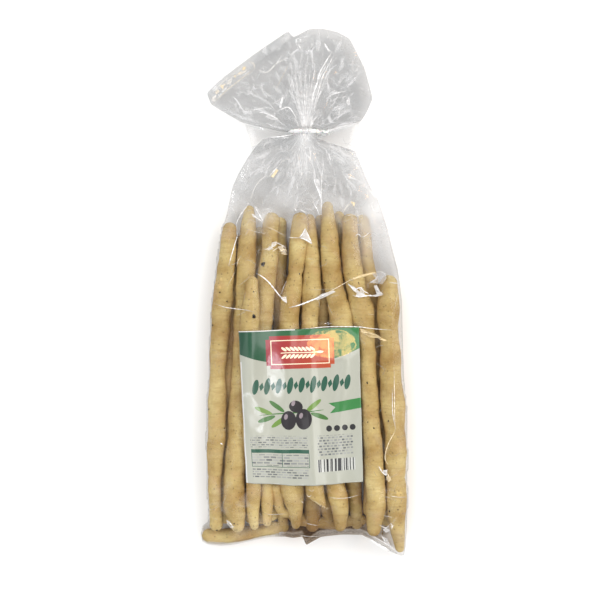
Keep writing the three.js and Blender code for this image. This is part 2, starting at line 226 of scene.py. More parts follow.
sticks = {
    "sides": 30,
    "ringPitch": 1.3,
    "bedding": 0.8,  # depth by which the lowest sticks are pressed flat
    "clear": 0.3,  # the bag's film is under them
    "press": 0.95,  # share of their radii at which two crossing sticks lie apart
    "stations": 60,
    "lump": (0.035, 38),  # share of the radius, and length of one swelling
    "routes": {  # layer, and then x, y and radius of the points from the tied end to the bottom end
        "backLeft": (0, -57, 46, 5, -60, -60, 7.5, -65, -192, 6.4),
        "backUnder": (0, -36, 52, 5, -37, -70, 7.4, -42, -150, 7.2, -42.4, -192, 7),
        "backInnerLeft": (0, -19, 60, 5, -20, 8, 7, -17, -80, 7.2, -24, -150, 6.5, -27, -190, 6.4),
        "backMiddle": (0, 1, 34, 5, 3, -70, 7, 6.4, -170, 6.9, 7.4, -190, 6.4, 7.6, -199.4, 4),
        "backLow": (0, -14, -178, 5, -3, -188, 5.4, 14, -191.5, 5, 36, -190.5, 5, 52, -189, 4.4),
        "backInnerRight": (0, 14, 62, 4, 15, -30, 7.5, 17, -140, 7.2, 18.5, -176, 6, 24.5, -197, 4.6),
        "backRight": (0, 29, 65, 4.5, 34, -20, 7.5, 41, -150, 6.8, 43, -176, 5.5, 44.2, -197, 4.5),
        "backOuterRight": (0, 48, 62, 5, 52, 20, 7, 56, -20, 8, 55.4, -100, 8, 55.6, -187, 6.2),
        "backEdge": (0, 66.8, 8, 6, 68.6, -90, 7.8, 68.6, -194, 5.8),
        "across": (0, -83.4, -201.6, 5.4, -66, -202.2, 5.6, -50, -200.4, 5.5, -18, -195.4, 4.6),
        "bitLow": (0, -28, -193.5, 4.2, -15, -196, 4.6),
        "bitUpright": (0, -18.6, -174, 5, -15.6, -199.6, 3.8),
        "bitCurled": (1, -23, -156, 4.8, -20.6, -170, 4.8, -19.4, -177.4, 4.5, -15.4, -181.8, 4.1, -8,
            -181.4, 3.8),
        "edgeLeft": (1, -59.5, 55, 5.6, -62, 27, 7, -66.8, -22, 7.7, -69.6, -64, 6.5, -70.5, -110, 7.7, -72,
            -150, 5.8, -71, -196, 5.4),
        "outerLeft": (1, -44, 69, 4, -45.5, 40, 7.7, -48, -8, 7.7, -51.5, -73, 7.7, -55.2, -150, 9, -55.6,
            -177, 8.8, -52.4, -196.4, 4.8),
        "innerLeft": (1, -25.5, 63, 6.2, -28.5, 21, 7.7, -33, -28, 8.1, -30, -135, 6.5, -29.5, -192, 3.6),
        "pinched": (1, -2, 63, 6.4, -4.5, 32, 7.3, -7, 12, 6.3, -11.5, -20, 8.9, -11, -120, 8.9, -9.6, -162,
            9.8, -6.4, -180, 6, -6.2, -194.5, 2.8),
        "broken": (1, 4.5, 62, 4.5, 7, 16, 7.3, 5, -28, 7.3, 7.5, -146, 7.6, 10, -168, 7.6, 12, -184, 7.4),
        "bentRight": (1, 19.5, 72, 4.1, 20, 58, 5.3, 21.5, 41, 7.6, 24, 7, 8.1, 31, -26, 9.5, 33.5, -56,
            8.9, 25.2, -152, 7.6, 29.8, -178, 7.6, 29.4, -196, 4.6),
        "outerRight": (1, 37.5, 62, 6.6, 38.5, 31, 7.3, 42.5, 4, 8.4, 48, -18, 9.4, 51, -45, 7.3, 54, -100,
            7.8, 56.6, -140, 8, 58.4, -182, 7.8, 55.8, -199, 4.6),
        "edgeRight": (1, 69.5, 12, 6.4, 68.5, -12, 9, 69.5, -43, 7.7, 71.3, -81, 9.8, 74, -118, 8.8, 75,
            -160, 8.4, 76, -188, 7, 78.5, -213, 3.2),
        "topLeft": (2, -41, 11, 4.5, -43, -32, 8.1, -42.5, -97, 7.3, -40.6, -158, 6, -41.2, -179, 5, -39.4,
            -194.4, 3.2),
        "bitBetween": (0, -37, -178, 4.6, -33.6, -193, 4.4),
    },
    "grooves": {  # y, depth and width of a dent that runs round a stick
        "pinched": [(13, 0.9, 2.2), (-48, 0.35, 2)],
        "outerLeft": [(-12, 0.35, 1.6)],
        "bentRight": [(-9, 0.4, 1.8), (36, 0.3, 2)],
        "broken": [(22, 0.35, 2)],
        "innerLeft": [(34, 0.35, 1.8)],
        "outerRight": [(-2, 0.4, 2)],
        "edgeRight": [(-62, 0.4, 2.4), (-152, 0.3, 2)],
        "edgeLeft": [(-152, 0.4, 2.2), (5, 0.3, 1.8)],
    },
    "relief": (0.055, 28, 0.03, 9),  # unevenness and its length, coarse and then fine
    "wrinkle": (0.1, 3.4),  # height and spacing of faint rings left by rolling
    "breakAt": (9.5, -170.5),  # the broken end's slanted face: a point on it and its direction
    "breakFacing": (-0.53, -0.85),
    "crumbRelief": 0.5,
    "shaded": {"backMiddle": 0.45, "backInnerRight": 0.2, "backLow": 0.25},  # how much painted shade darkens their fronts
    "shadedBehind": (0.4, -158, -146, 0, 30),  # painted shade on all the back ones: how much, and from where to where
}


def traceRoute(route):  # a centripetal Catmull-Rom curve through the points, finely sampled
    points = np.array(route, float)
    points = np.vstack([2 * points[0] - points[1], points, 2 * points[-1] - points[-2]])
    share = np.linspace(0, 1, 60)[:, None]
    traced = [points[1:2]]
    for a, b, c, d in zip(points, points[1:], points[2:], points[3:]):
        before, here, after = [math.sqrt(np.linalg.norm(q - p)) for p, q in ((a, b), (b, c), (c, d))]
        leave = here * ((b - a) / before - (c - a) / (before + here) + (c - b) / here)
        arrive = here * ((c - b) / here - (d - b) / (here + after) + (d - c) / after)
        square = -3 * b + 3 * c - 2 * leave - arrive
        cube = 2 * b - 2 * c + leave + arrive
        traced.append((b + leave * share + square * share ** 2 + cube * share ** 3)[1:])
    traced = np.vstack(traced)
    walked = np.concatenate([[0], np.cumsum(np.linalg.norm(np.diff(traced, axis=0), axis=1))])
    return traced, walked


def layStick(index, name, layer, route, laid):
    traced, walked = traceRoute(route)
    length = walked[-1]
    height, spacing = sticks["lump"]

    def at(travel):
        x, y, radius = [np.interp(travel, walked, traced[:, k]) for k in range(3)]
        return x, y, radius * (1 + height * np.sin(travel * 2 * math.pi / spacing + index * 1.7))

    stations = np.linspace(0, length, sticks["stations"] + 1)
    x, y, radius = at(stations)
    if layer == 0:
        heights = radius - sticks["bedding"]
    else:
        heights = np.zeros_like(x)
        for other in laid:
            if other["layer"] >= layer:
                continue
            reach = sticks["press"] * (radius[:, None] + other["radius"])
            apart = np.hypot(x[:, None] - other["x"], y[:, None] - other["y"])
            rise = np.sqrt(np.maximum(reach ** 2 - apart ** 2, 0))
            heights = np.maximum(heights, np.where(apart < reach, other["z"] + rise, 0).max(1))
        touching = heights > 0
        slope, level = np.polyfit(stations[touching], heights[touching], 1)
        heights = level + slope * stations
    return {"name": name, "layer": layer, "length": length, "at": at, "stations": stations,
            "x": x, "y": y, "radius": radius, "z": heights}


def middleLine(stick, travel):  # x, y, z and radius at distances along a stick
    x, y, radius = stick["at"](travel)
    return x, y, np.interp(travel, stick["stations"], stick["z"]), radius


def roughened(index, centre, around, radius, travel, toEnd):  # swellings, and rings left by rolling
    coarse, coarseLength, fine, fineLength = sticks["relief"]
    swell = coarse * waveField(around, coarseLength, 40 + index)
    swell = swell + fine * waveField(around, fineLength, 80 + index)
    ring, ringSpacing = sticks["wrinkle"]
    patch = smoothStep(waveField(around, 26, 120 + index), 0.1, 0.9)
    rolled = ring * np.sin(2 * math.pi * travel / ringSpacing + waveField(around.mean(1), 30, index) * 3)
    rolled, toEnd, radius = rolled[:, None], toEnd[:, None], radius[:, None]
    swell = swell * toEnd + patch * rolled * toEnd / np.maximum(radius, 2)
    return centre + (around - centre) * (1 + swell)[..., None]


def breakOff(points):  # cuts the points at the broken face, and says which of them lie on it
    facing = np.array(sticks["breakFacing"])
    past = (points[:, :2] - sticks["breakAt"]) @ facing
    rough = sticks["crumbRelief"] * (waveField(points, 2.2, 5) + 0.6 * waveField(points, 0.9, 6))
    past = np.maximum(past + rough, 0)
    points[:, :2] -= past[:, None] * facing
    return (past > 0).astype(float)


def paintedShadeOnCrust(stick, y, side):  # painted shade: darker flanks where the sticks touch, and darker fronts on some that lie behind
    toasted = 0.5 * smoothStep(-side, -0.62, -0.05) * smoothStep(side, -0.9, -0.5)
    if stick["layer"] == 0:
        brown, low, lowEnd, high, highEnd = sticks["shadedBehind"]
        deep = brown * smoothStep(y, low, lowEnd) * (1 - smoothStep(y, high, highEnd))
        deep = np.maximum(deep, sticks["shaded"].get(stick["name"], 0))
        toasted = np.maximum(toasted, deep * smoothStep(side, -0.3, 0.1))
    return toasted


def stickPiece(index, stick, material):
    length = stick["length"]
    first, last = [float(stick["at"](end)[2]) for end in (0.0, length)]
    cap = 1 - np.cos(np.linspace(0.06, math.pi / 2, 9))
    rings = max(2, round((length - first - last) / sticks["ringPitch"]))
    travel = np.concatenate([cap * first, np.linspace(first, length - last, rings + 1)[1:-1],
                             length - cap[::-1] * last])
    x, y, z, radius = middleLine(stick, travel)
    ahead, behind = stick["at"](np.minimum(travel + 2, length)), stick["at"](np.maximum(travel - 2, 0))
    across = np.stack([ahead[1] - behind[1], behind[0] - ahead[0]], 1)
    across /= np.linalg.norm(across, axis=1)[:, None]
    toEnd = np.minimum(travel, length - travel) / np.where(travel < length / 2, first, last)
    toEnd = np.minimum(toEnd, 1)
    radius = radius * np.sqrt(1 - (1 - toEnd) ** 2)
    for place, depth, width in sticks["grooves"].get(stick["name"], []):
        radius = radius - depth * np.exp(-((y - place) / width) ** 2)
    angle = np.linspace(0, 2 * math.pi, sticks["sides"], endpoint=False)
    sideways, upward = np.cos(angle), np.sin(angle)
    around = np.stack([
        x[:, None] + radius[:, None] * across[:, :1] * sideways,
        y[:, None] + radius[:, None] * across[:, 1:] * sideways,
        z[:, None] + radius[:, None] * upward + 0 * sideways,
    ], -1)
    around = roughened(index, np.stack([x, y, z], 1)[:, None], around, radius, travel, toEnd)
    tips = np.array([[float(v) for v in middleLine(stick, end)[:3]] for end in (0.0, length)])
    points = np.vstack([around.reshape(-1, 3), tips])
    crumb = np.zeros(len(points))
    if stick["name"] == "broken":
        crumb = breakOff(points)
    points[:, 2] = np.maximum(points[:, 2], sticks["clear"])
    sides, count = sticks["sides"], len(travel)
    grid, faces = tubeFaces(count, sides)
    faces += [[count * sides, grid[0, k + 1], grid[0, k]] for k in range(sides)]
    faces += [[count * sides + 1, grid[-1, k], grid[-1, k + 1]] for k in range(sides)]
    piece = meshPiece(f"breadstick_{stick['name']}", points, faces, material)
    toasted = paintedShadeOnCrust(stick, points[:-2, 1], np.tile(upward, count))
    setAttributes(piece.data, {"crumb": crumb, "toasted": np.append(toasted, toasted[[0, -1]])})
    return piece


crust = {
    "pale": "#DEC98A",
    "tan": "#C6AC6E",
    "baked": "#A98748",
    "rosy": "#CAA570",
    # colour of the painted shade on the flanks and on the sticks behind
    "toasted": "#8C6032",
    "speck": "#6E5A34",
    "inside": "#D2BE90",
}


def bakedCrust(add):  # dry baked dough: matt, floury, with a fine grain and small brown specks
    where = add("TexCoord").outputs["Object"]
    broad = add("TexNoise", {"Scale": 1 / 0.022, "Detail": 3.0, "Vector": where})
    tone = add("ValToRGB", {"Fac": broad})
    ramp = tone.color_ramp
    ramp.elements[0].position, ramp.elements[0].color = 0.3, toLinear(crust["baked"])
    ramp.elements[1].position, ramp.elements[1].color = 0.72, toLinear(crust["pale"])
    middle = ramp.elements.new(0.5)
    middle.color = toLinear(crust["tan"])
    grain = add("TexNoise", {"Scale": 1 / 0.0016, "Detail": 4.0, "Vector": where})
    specks = add("TexVoronoi", {"Scale": 1 / 0.0042, "Vector": where})
    isSpeck = add("MapRange", {"From Min": 0.19, "From Max": 0.09, "To Min": 0.0, "To Max": 0.6,
                               "Value": specks})
    grained = add("Mix", {"data_type": "RGBA", "blend_type": "OVERLAY", 0: 0.22, 6: tone, 7: grain})
    blush = add("TexNoise", {"Scale": 1 / 0.013, "Detail": 2.0, "Vector": where})
    blushed = add("MapRange", {"From Min": 0.52, "From Max": 0.72, "To Max": 0.5, "Value": blush})
    stretched = add("Mapping", {"Scale": (0.13, 1, 0.13), "Vector": where})
    # faint rings that the rolling left
    rings = add("TexNoise", {"Scale": 1 / 0.0021, "Detail": 2.0, "Vector": stretched})
    darker = add("MapRange", {"From Min": 0.5, "From Max": 0.7, "To Max": 0.38, "Value": rings})
    toasted, crumb = [add("Attribute", {"attribute_name": name}).outputs["Fac"]
                      for name in ("toasted", "crumb")]
    coloured = grained
    # one of these tones is painted shade: darker flanks, and darker fronts of the sticks behind
    for name, share in (("rosy", blushed), ("baked", darker), ("toasted", toasted), ("speck", isSpeck),
                        ("inside", crumb)):
        coloured = add("Mix", {"data_type": "RGBA", 0: share, 6: coloured, 7: toLinear(crust[name])})
    fine = add("TexNoise", {"Scale": 1 / 0.0007, "Detail": 3.0, "Vector": where})
    rolled = add("Bump", {"Strength": 0.5, "Distance": 0.0008, "Height": rings})
    dents = add("Bump", {"Strength": 0.6, "Distance": 0.0008, "Height": grain, "Normal": rolled})
    bumps = add("Bump", {"Strength": 0.45, "Distance": 0.0003, "Height": fine, "Normal": dents})
    return add("BsdfPrincipled", {"Roughness": 0.62, "IOR": 1.45, "Base Color": coloured, "Normal": bumps})


laid = []
for index, (name, (layer, *route)) in enumerate(sticks["routes"].items()):
    laid.append(layStick(index, name, layer, np.reshape(route, (-1, 3)), laid))
crustMaterial = newMaterial("baked_crust", bakedCrust)
stickPieces = [stickPiece(index, stick, crustMaterial) for index, stick in enumerate(laid)]
print(f"{len(laid)} breadsticks are laid")


field = {
    "left": -92,
    "right": 92,
    "low": -222,
    "high": 146,
    "pitch": 1.0,
    "empty": 60.0,  # past every height
    "ballPitch": 0.6,  # balls along a stick stand for it here, a little wider than the stick
    "ballShare": 1.05,
    "labelBend": (34, 90),  # radii to which the label bends across and along the sticks
}
fieldX = np.arange(field["left"], field["right"] + 1e-6, field["pitch"])
fieldY = np.arange(field["low"], field["high"] + 1e-6, field["pitch"])


def pressInto(tops, bottoms, x, y, z, radius):  # one ball's upper and lower height
    columns = slice(*np.searchsorted(fieldX, [x - radius, x + radius]))
    rows = slice(*np.searchsorted(fieldY, [y - radius, y + radius]))
    square = radius ** 2 - (fieldX[columns] - x) ** 2 - (fieldY[rows, None] - y) ** 2
    rise = np.sqrt(np.maximum(square, 0))
    upper, lower = tops[rows, columns], bottoms[rows, columns]
    upper[...] = np.where(square >= 0, np.maximum(upper, z + rise), upper)
    lower[...] = np.where(square >= 0, np.minimum(lower, z - rise), lower)


def coverSticks(gap, least):  # upper and lower heights of all sticks with a gap round them
    tops = np.full((len(fieldY), len(fieldX)), -field["empty"])
    bottoms = -tops
    for stick in laid:
        for x, y, z, radius in zip(*middleLine(stick, np.arange(0, stick["length"], field["ballPitch"]))):
            toEnd = min(1, np.hypot(x - stick["x"][0], y - stick["y"][0]) / radius,
                        np.hypot(x - stick["x"][-1], y - stick["y"][-1]) / radius)
            ball = radius * math.sqrt(1 - (1 - toEnd) ** 2) * field["ballShare"] + gap
            if ball > least:
                pressInto(tops, bottoms, x, y, z, ball)
    return tops, bottoms


def bridge(heights, bendX, bendY):  # the lowest sheet over the heights that bends no tighter
    squareX = (fieldX[:, None] - fieldX) ** 2 / (2 * bendX)
    squareY = (fieldY[:, None] - fieldY) ** 2 / (2 * bendY)
    for sign, pick in ((-1, np.max), (1, np.min)):
        heights = np.stack([pick(row + sign * squareX, axis=1) for row in heights])
        heights = np.stack([pick(column + sign * squareY, axis=1) for column in heights.T], 1)
    return heights


def blur(heights, reach):  # a mean over a few millimetres
    offsets = np.arange(-round(3 * reach), round(3 * reach) + 1)
    weights = np.exp(-offsets ** 2 / (2 * reach ** 2))
    weights /= weights.sum()
    for _ in range(2):
        padded = np.pad(heights, ((len(offsets) // 2,) * 2, (0, 0)), mode="edge")
        heights = sum(weight * padded[k:k + len(heights)] for k, weight in enumerate(weights)).T
    return heights


def heightsAt(heights, x, y):  # between the points of the field
    column = np.clip((x - fieldX[0]) / field["pitch"], 0, len(fieldX) - 1.001)
    row = np.clip((y - fieldY[0]) / field["pitch"], 0, len(fieldY) - 1.001)
    c, r = column.astype(int), row.astype(int)
    u, v = column - c, row - r
    low = heights[r, c] * (1 - u) + heights[r, c + 1] * u
    high = heights[r + 1, c] * (1 - u) + heights[r + 1, c + 1] * u
    return low * (1 - v) + high * v


stickTops, stickBottoms = coverSticks(0, 1)
labelRelief = bridge(stickTops, *field["labelBend"])
print("the sticks' heights are mapped")


film = {
    "gap": 0.35,  # between a stick and the film on it
    "ground": 0.1,
    "edge": 1.2,  # radius of the balls that hold the film up along its border
    "rows": [(131.5, -30, 0.85), (-30, -158, 2.2), (-158, -176, 1.1)],  # from, to and spacing
    "endRows": 34,
    "columns": 156,
    "crowding": 0.35,  # how much closer the columns stand at the edges
    "bend": (70, 380),  # radii to which the film bends across and along the sticks
    "blur": 1.5,
    "highest": 37.7,
    "shoulderFrom": 66,
    "left": [(135, -8.5), (127, -8.5), (125, -22), (122.5, -33), (116, -39.5), (106, -46.5), (95, -53),
             (84, -58), (73, -60.5), (62, -62.5), (50, -66), (31, -69.5), (8, -72.5), (-22, -75),
             (-176, -77)],
    "right": [(135, 10.5), (123, 11), (118, 26), (113, 42), (106, 45), (95, 49.5), (84, 54.5),
              (73, 61), (62, 65), (50, 68.5), (31, 73), (16, 76.5), (-8, 79.5), (-64, 81),
              (-90, 82.4), (-145, 83.8), (-176, 84.2)],
    "leftHeight": [(135, 12), (120, 12), (105, 9), (62, 9), (50, 16), (-150, 14.5), (-176, 13)],
    "rightHeight": [(135, 12), (120, 12), (105, 9), (22, 9), (8, 17), (-176, 17.5)],
    "endLeft": [(0, -77.9), (0.5, -78), (0.64, -83), (0.8, -84), (1, -82.8)],
    "endRight": [(0, 84.2), (0.4, 84), (0.8, 83), (1, 81.6)],
    "endHeight": [(0, 4.2), (0.25, 2), (0.4, 1), (0.7, 1), (0.84, 3), (0.92, 9), (1, 14)],
    "bottom": [(-84, -203.5), (-77.6, -207), (-66.2, -207.6), (-54.6, -205.6), (-40.7, -202.8),
               (-29.2, -200.6), (-15.3, -200), (-8.3, -201), (-0.8, -199.4), (2, -206.6), (8.9, -202),
               (13.6, -199.2), (30.9, -197.8), (47.1, -197.8), (52.8, -201), (66.6, -210),
               (78.2, -215.8), (82.8, -215)],
    "shoulderTop": [(50, 20), (62, 22), (73, 23), (84, 22.5), (95, 21), (106, 19.5), (118, 18), (135, 18)],
    "shoulderUnder": [(50, 3), (73, 1.5), (95, 2), (113, 3), (118, 4), (123, 6), (135, 6)],
    "pleats": 22,
    "bundle": 20,  # half width of the deepest pleats
    "pleatHeight": [(58, 0), (78, 0.2), (98, 0.5), (112, 0.7), (124, 0.35), (135, 0.25)],
    "crumple": [(135, 0.1), (112, 0.45), (90, 0.7), (66, 0.5), (48, 0.25), (-30, 0.12), (-150, 0.1),
                (-180, 0.3), (-215, 0.4)],
    "crumpleLength": 22,
    "haze": [(135, 0.6), (124, 0.5), (112, 0.22), (92, 0.1), (60, 0.0), (-215, 0.0)],
    "fog": [(135, 0.05), (90, 0.06), (76, 0.1), (68, 0.16), (60, 0.2), (52, 0.09), (40, 0)],
    "paintedGlareRight": (0.2, 32, 54),  # painted glare: more of this whiteness over the right sticks' tops, and from where to where
    "smoke": [(80, 0.22), (50, 0.05), (-215, 0)],  # where the film looks greyer
    "smokeRight": (0.2, 56, 64),  # how much, from where to where beside the sticks
    "dust": [(-172, 0), (-186, 1)],  # where crumb dust and painted shade brown the film, by y and by x
    "dustAndShadeAcross": [(-24, 0), (-14, 1), (42, 1), (56, 0.5), (66, 0.4), (76, 0.1)],
    "dustAndShadeTop": (0.12, 0.7),  # how much of it the upper sheet has, and has at its lower edge
    "crinkled": [(135, 0.7), (100, 1), (70, 0.7), (52, 0.25), (30, 0.12), (-150, 0.1), (-176, 0.25)],
    "ridge": (0.3, 1.3, 2.4),  # height against width of a crease's soft foot, and its two slopes' widths
    "creases": [  # width, whiteness and warmth of the painted highlight, and then x and y of the points on the way
        (1.3, 1, 0, -38.1, 13.2, -34.5, 11.5, -28.8, 7, -23.1, 0.2, -18.6, -5.5, -14.6, -10.1),
        (0.5, 0.6, 0.2, -13.4, 7.5, -15.1, 4.7, -18.3, -4.4), (1.3, 0.9, 0, -18.3, -6.7, -15.1, -8),
        (1.5, 1, 0, -11.7, -14.2, -3.8, -12.3, 6.4, -8.4, 14.4, -5, 19.5, -2.1),
        (0.7, 0.85, 0.6, 17.8, -2.9, 25.8, 1.3, 33.7, 5.8, 40, 9.3),
        (1.4, 0.9, 0.9, 37.1, 7.9, 46.2, 11, 53, 12.9, 58.7, 14.1),
        (0.7, 0.9, 0.1, 57.6, 14, 62.1, 14.7, 65.5, 12.7), (1.2, 1, 0, 36, 4.9, 38.3, 2.4, 41.7, 0.2),
        (1.1, 1, 0, 40, -1, 45.7, 1.9, 48.5, -1, 52.5, -3),
        (0.9, 1, 0, 39.4, -4.4, 45.1, -5.7, 51.9, -4.4, 58.7, -5, 63.8, -3.5),
        (0.8, 1, 0, 58.2, 1.3, 61, -1.5, 64.1, -3.7), (1.6, 0.35, 0, 53, 5.8, 58.2, 8.7, 60.4, 13.2),
        (0.4, 0.5, 0.6, 65.5, 14.4, 68.7, 11, 67.8, 5.8),
        (0.8, 1, 0, -43.6, 72.9, -45.8, 67.8, -50.4, 61.5, -53.8, 54.7, -54.2, 49),
        (0.9, 1, 0, -54.2, 47.3, -53.4, 44.5, -55.5, 36.5, -58.1, 27.4, -60.3, 19.5),
        (0.9, 1, 0, -39, 66.6, -36.2, 61.5, -33.9, 57.6, -32.4, 54.5),
        (0.9, 1, 0.1, -41.9, 61, -37.9, 58.1, -33.1, 54.7),
        (0.45, 0.6, 0.4, -46.4, 49.5, -40.2, 47.3, -34.5, 45.9, -27.6, 44.9),
        (0.45, 0.6, 0.4, -31.6, 51.5, -24.2, 48.5, -14.6, 43.4),
        (0.6, 0.9, 0.1, -12.6, 42.4, -8.3, 42, -3.2, 42), (0.9, 1, 0, -3.6, 42, -0.9, 45.1, 1.4, 49.8),
        (0.8, 1, 0, 1.2, 49.6, 3.6, 44.5, 6.9, 37.4), (1, 1, 0, -3.6, 42, 1.9, 40.4, 7, 37.4),
        (0.6, 0.9, 0.2, -33.6, 32.6, -27.6, 33.1, -23.1, 36, -19.7, 37.9),
        (0.7, 0.9, 0.5, -25.9, 30.3, -20.8, 33.7, -16.9, 34.8),
        (0.6, 0.9, 0.1, -23.3, 38.8, -18.6, 36.5, -13.8, 33.7),
        (1, 1, 0.7, -19.7, 30.6, -15.1, 32.6, -13.2, 30.6), (1, 1, 0.7, -18.3, 29.3, -13.1, 28.6),
        (0.5, 0.8, 0.1, -25.9, 33.5, -24, 37.9),
        (0.7, 0.9, 0.1, -71.6, -11, -64, -13.7, -53.8, -15.2, -45.8, -16.1, -39, -17.8),
        (0.7, 0.6, 0.2, -50.9, -33.6, -40.2, -33, -28.8, -32.7, -15.1, -31.8, -6.6, -31.1),
        (0.9, 1, 0.05, -5.8, -31.8, 5.3, -31, 17.8, -29.8, 31.4, -29.5, 45.1, -29.8, 57.6, -31.3, 71.2,
         -32.2), (0.35, 0.5, 0.5, 38.8, 50.4, 39.2, 47.7, 45.3, 47.7),
        (0.9, 1, 0.1, 41.5, 42.9, 44, 45.1, 46.5, 42.7),
        (0.7, 0.9, 0.2, 47.1, 42.4, 50.2, 43.9, 53.5, 46.8),
        (0.5, 0.8, 0.3, 31.2, 61.3, 34.9, 67.2, 39.2, 70.9),
        (0.5, 0.8, 0.2, 33.7, 59.7, 40.5, 60.6, 47.4, 59.3), (1, 1, 0.8, 40.3, 70.6, 40.9, 67.2),
        (0.8, 1, 0, 6.7, 71.2, 10.4, 66.1, 12.9, 59.8), (1, 1, 0, -7.4, 65.9, -5.6, 63.4),
        (0.7, 0.9, 0, -3.6, 65.2, 2.5, 62.1), (0.6, 0.7, 0.6, -53.8, 18.3, -52.4, 24, -49.6, 27.7),
        (0.5, 0.5, 0.5, -54.4, 16.1, -57.2, 10.4, -61.5, 2.7),
        (0.5, 0.4, 0.5, -41.1, 12.3, -46.4, 7.5, -53.2, 2.2),
        (0.35, 0.35, 0.3, 1.9, 0.2, 14.4, 0.2, 32.6, 1.5), (0.6, 0.9, 0, 68.4, 6, 78.6, 4.9),
        (0.5, 0.5, 0.6, 76, 0.2, 74.6, -6.7, 72.1, -19.2),
        (1.5, 0.8, 0.9, 44.9, -33.4, 51.9, -34.6, 59, -36.4), (1.1, 0.9, 0.9, 59.6, -39, 66.5, -40.8),
        (0.8, 0.9, 0.9, 74.9, -28.5, 76.5, -30), (0.35, 0.4, 0.3, 3, 25.2, 8.7, 24.7),
        (0.6, 0.8, 0.1, -44.1, 70, -40.4, 80.3, -35.3, 88.6, -27.5, 93.8),
        (0.9, 1, 0.1, -28, 91.2, -24.4, 95.8, -20.6, 100), (1, 1, 0.8, -26.4, 91.2, -24.4, 93.3),
        (0.5, 0.7, 0.1, -21.8, 98.4, -15.6, 105.1, -7.4, 106.2),
        (0.35, 0.4, 0.1, -33, 56.6, -32.8, 70, -34.2, 78.3), (0.5, 0.7, 0, -32.8, 64.8, -25.8, 65.9),
        (1.2, 1, 0, 7.9, 93.3, 9.1, 86.5, 12.2, 79.3, 14.3, 72.1, 13.9, 62.3),
        (0.6, 0.8, 0, 14.8, 111.3, 15.9, 101, 14.8, 90.7, 14.4, 77.2, 13.9, 64.8),
        (0.5, 0.7, 0, 17.9, 116, 19.5, 107.2, 22.8, 99.5), (1, 1, 0, 20.3, 111.3, 21.8, 104.9),
        (0.7, 0.9, 0, 31.7, 94.3, 36.5, 87.6), (0.5, 0.7, 0, 23.4, 88.1, 25.9, 91.2, 25.1, 80.9),
        (0.5, 0.6, 0, -9.7, 106.7, -7.2, 100, -7.9, 94.3),
        (0.5, 0.5, 0, -24.4, 108.8, -17.7, 112.2, -5.8, 112.6),
        (1, 1, 0, -32.5, 122.9, -26, 123.9, -17.7, 124.6, -6.9, 126.5),
        (0.6, 0.9, 0, -18.2, 123.3, -11, 123.7), (0.6, 0.7, 0, -5.3, 112.9, -3.8, 101, -2, 91.2),
        (0.6, 0.8, 0, -0.9, 95.8, -2.4, 89.6), (0.5, 0.7, 0, 1.7, 95.8, 7.6, 95.1),
        (0.4, 0.5, 0, 4.5, 108.2, 7.6, 100), (0.5, 0.7, 0, -12.8, 77.8, -9, 75.9, -11.7, 73.9),
        (0.5, 0.6, 0.1, 32.7, 61.9, 35, 67.9, 38.6, 71),
        (0.6, 0.5, 0, 9.1, 123.7, 15.3, 115.5, 26.7, 112.4),
        (0.5, 0.5, 0, 12.2, 124.8, 19.5, 119.6, 24.6, 118),
        (0.5, 0.5, 0, -28, 121.1, -31.7, 117.5, -33.7, 112.9),
        (0.35, 0.5, 0, -43, 107.2, -44.1, 98.9, -42.5, 91.7),
        (0.35, 0.5, 0, -30.1, 115.5, -32.2, 105.1, -31.1, 97.9), (0.35, 0.4, 0, -19.8, 80.3, -17.7, 73.1),
        (0.35, 0.4, 0, 42.2, 101, 49.4, 92.7, 56.7, 81.4),
        (2.4, 1, 0, 50.5, -198.6, 60, -204.6, 76, -214.4), (0.7, 0.9, 0, 55, -197, 64, -202.5, 77, -212),
        (0.9, 0.9, 0, 63, -198, 66, -202, 68, -200), (0.45, 0.5, 0.2, -33, -180, -27, -181.2, -13, -180.4),
        (0.5, 0.8, 0.2, 19.5, -166.4, 26, -167.4, 35, -167.2, 46, -164.2),
        (0.45, 0.6, 0.1, 0.7, -187, 6, -188.5, 12, -189),
        (0.5, 0.7, 0.1, -4, -197.6, 4, -198.4, 14, -197.6), (1.3, 1, 0, -67.2, -123.4, -65.2, -124.4),
        (0.8, 1, 0.1, -60.5, -186.5, -57.5, -189.4, -56.6, -192.4),
        (0.7, 0.9, 0.1, -58.6, -190, -55.2, -190.4), (0.6, 1, 0.4, -2, -169.6, 0, -171.4),
        (0.6, 0.9, 0.5, 3.6, -160, 6.4, -161.4, 9, -160.2),
        (0.6, 0.9, 0.4, 2.4, -164, 4.2, -166, 6.6, -164.4),
        (0.9, 1, 0.1, 70, -187.4, 71.4, -190.2, 70.4, -192.4), (0.6, 0.9, 0.2, 69.6, -190.4, 73, -189.4),
        (0.8, 1, 0.5, 72.5, -62, 72.9, -100, 73.6, -112),
        (0.9, 1, 0.75, 74, -112, 67.4, -125, 65.4, -135.6, 68.5, -141),
        (0.7, 0.9, 0.2, 71, -78, 71.5, -100, 74, -112), (1.2, 1, 0.1, 60, -141, 63, -146, 66, -149),
        (0.9, 0.9, 0.6, 64, -144, 68, -149, 66, -153),
        (0.6, 0.8, 0.3, 69, -165.3, 76, -166.4, 83.4, -166.6),
        (0.6, 0.8, 0.1, 60, -188, 66, -191, 70, -188), (0.5, 0.6, 0.2, 64, -181, 72, -183),
    ],
}


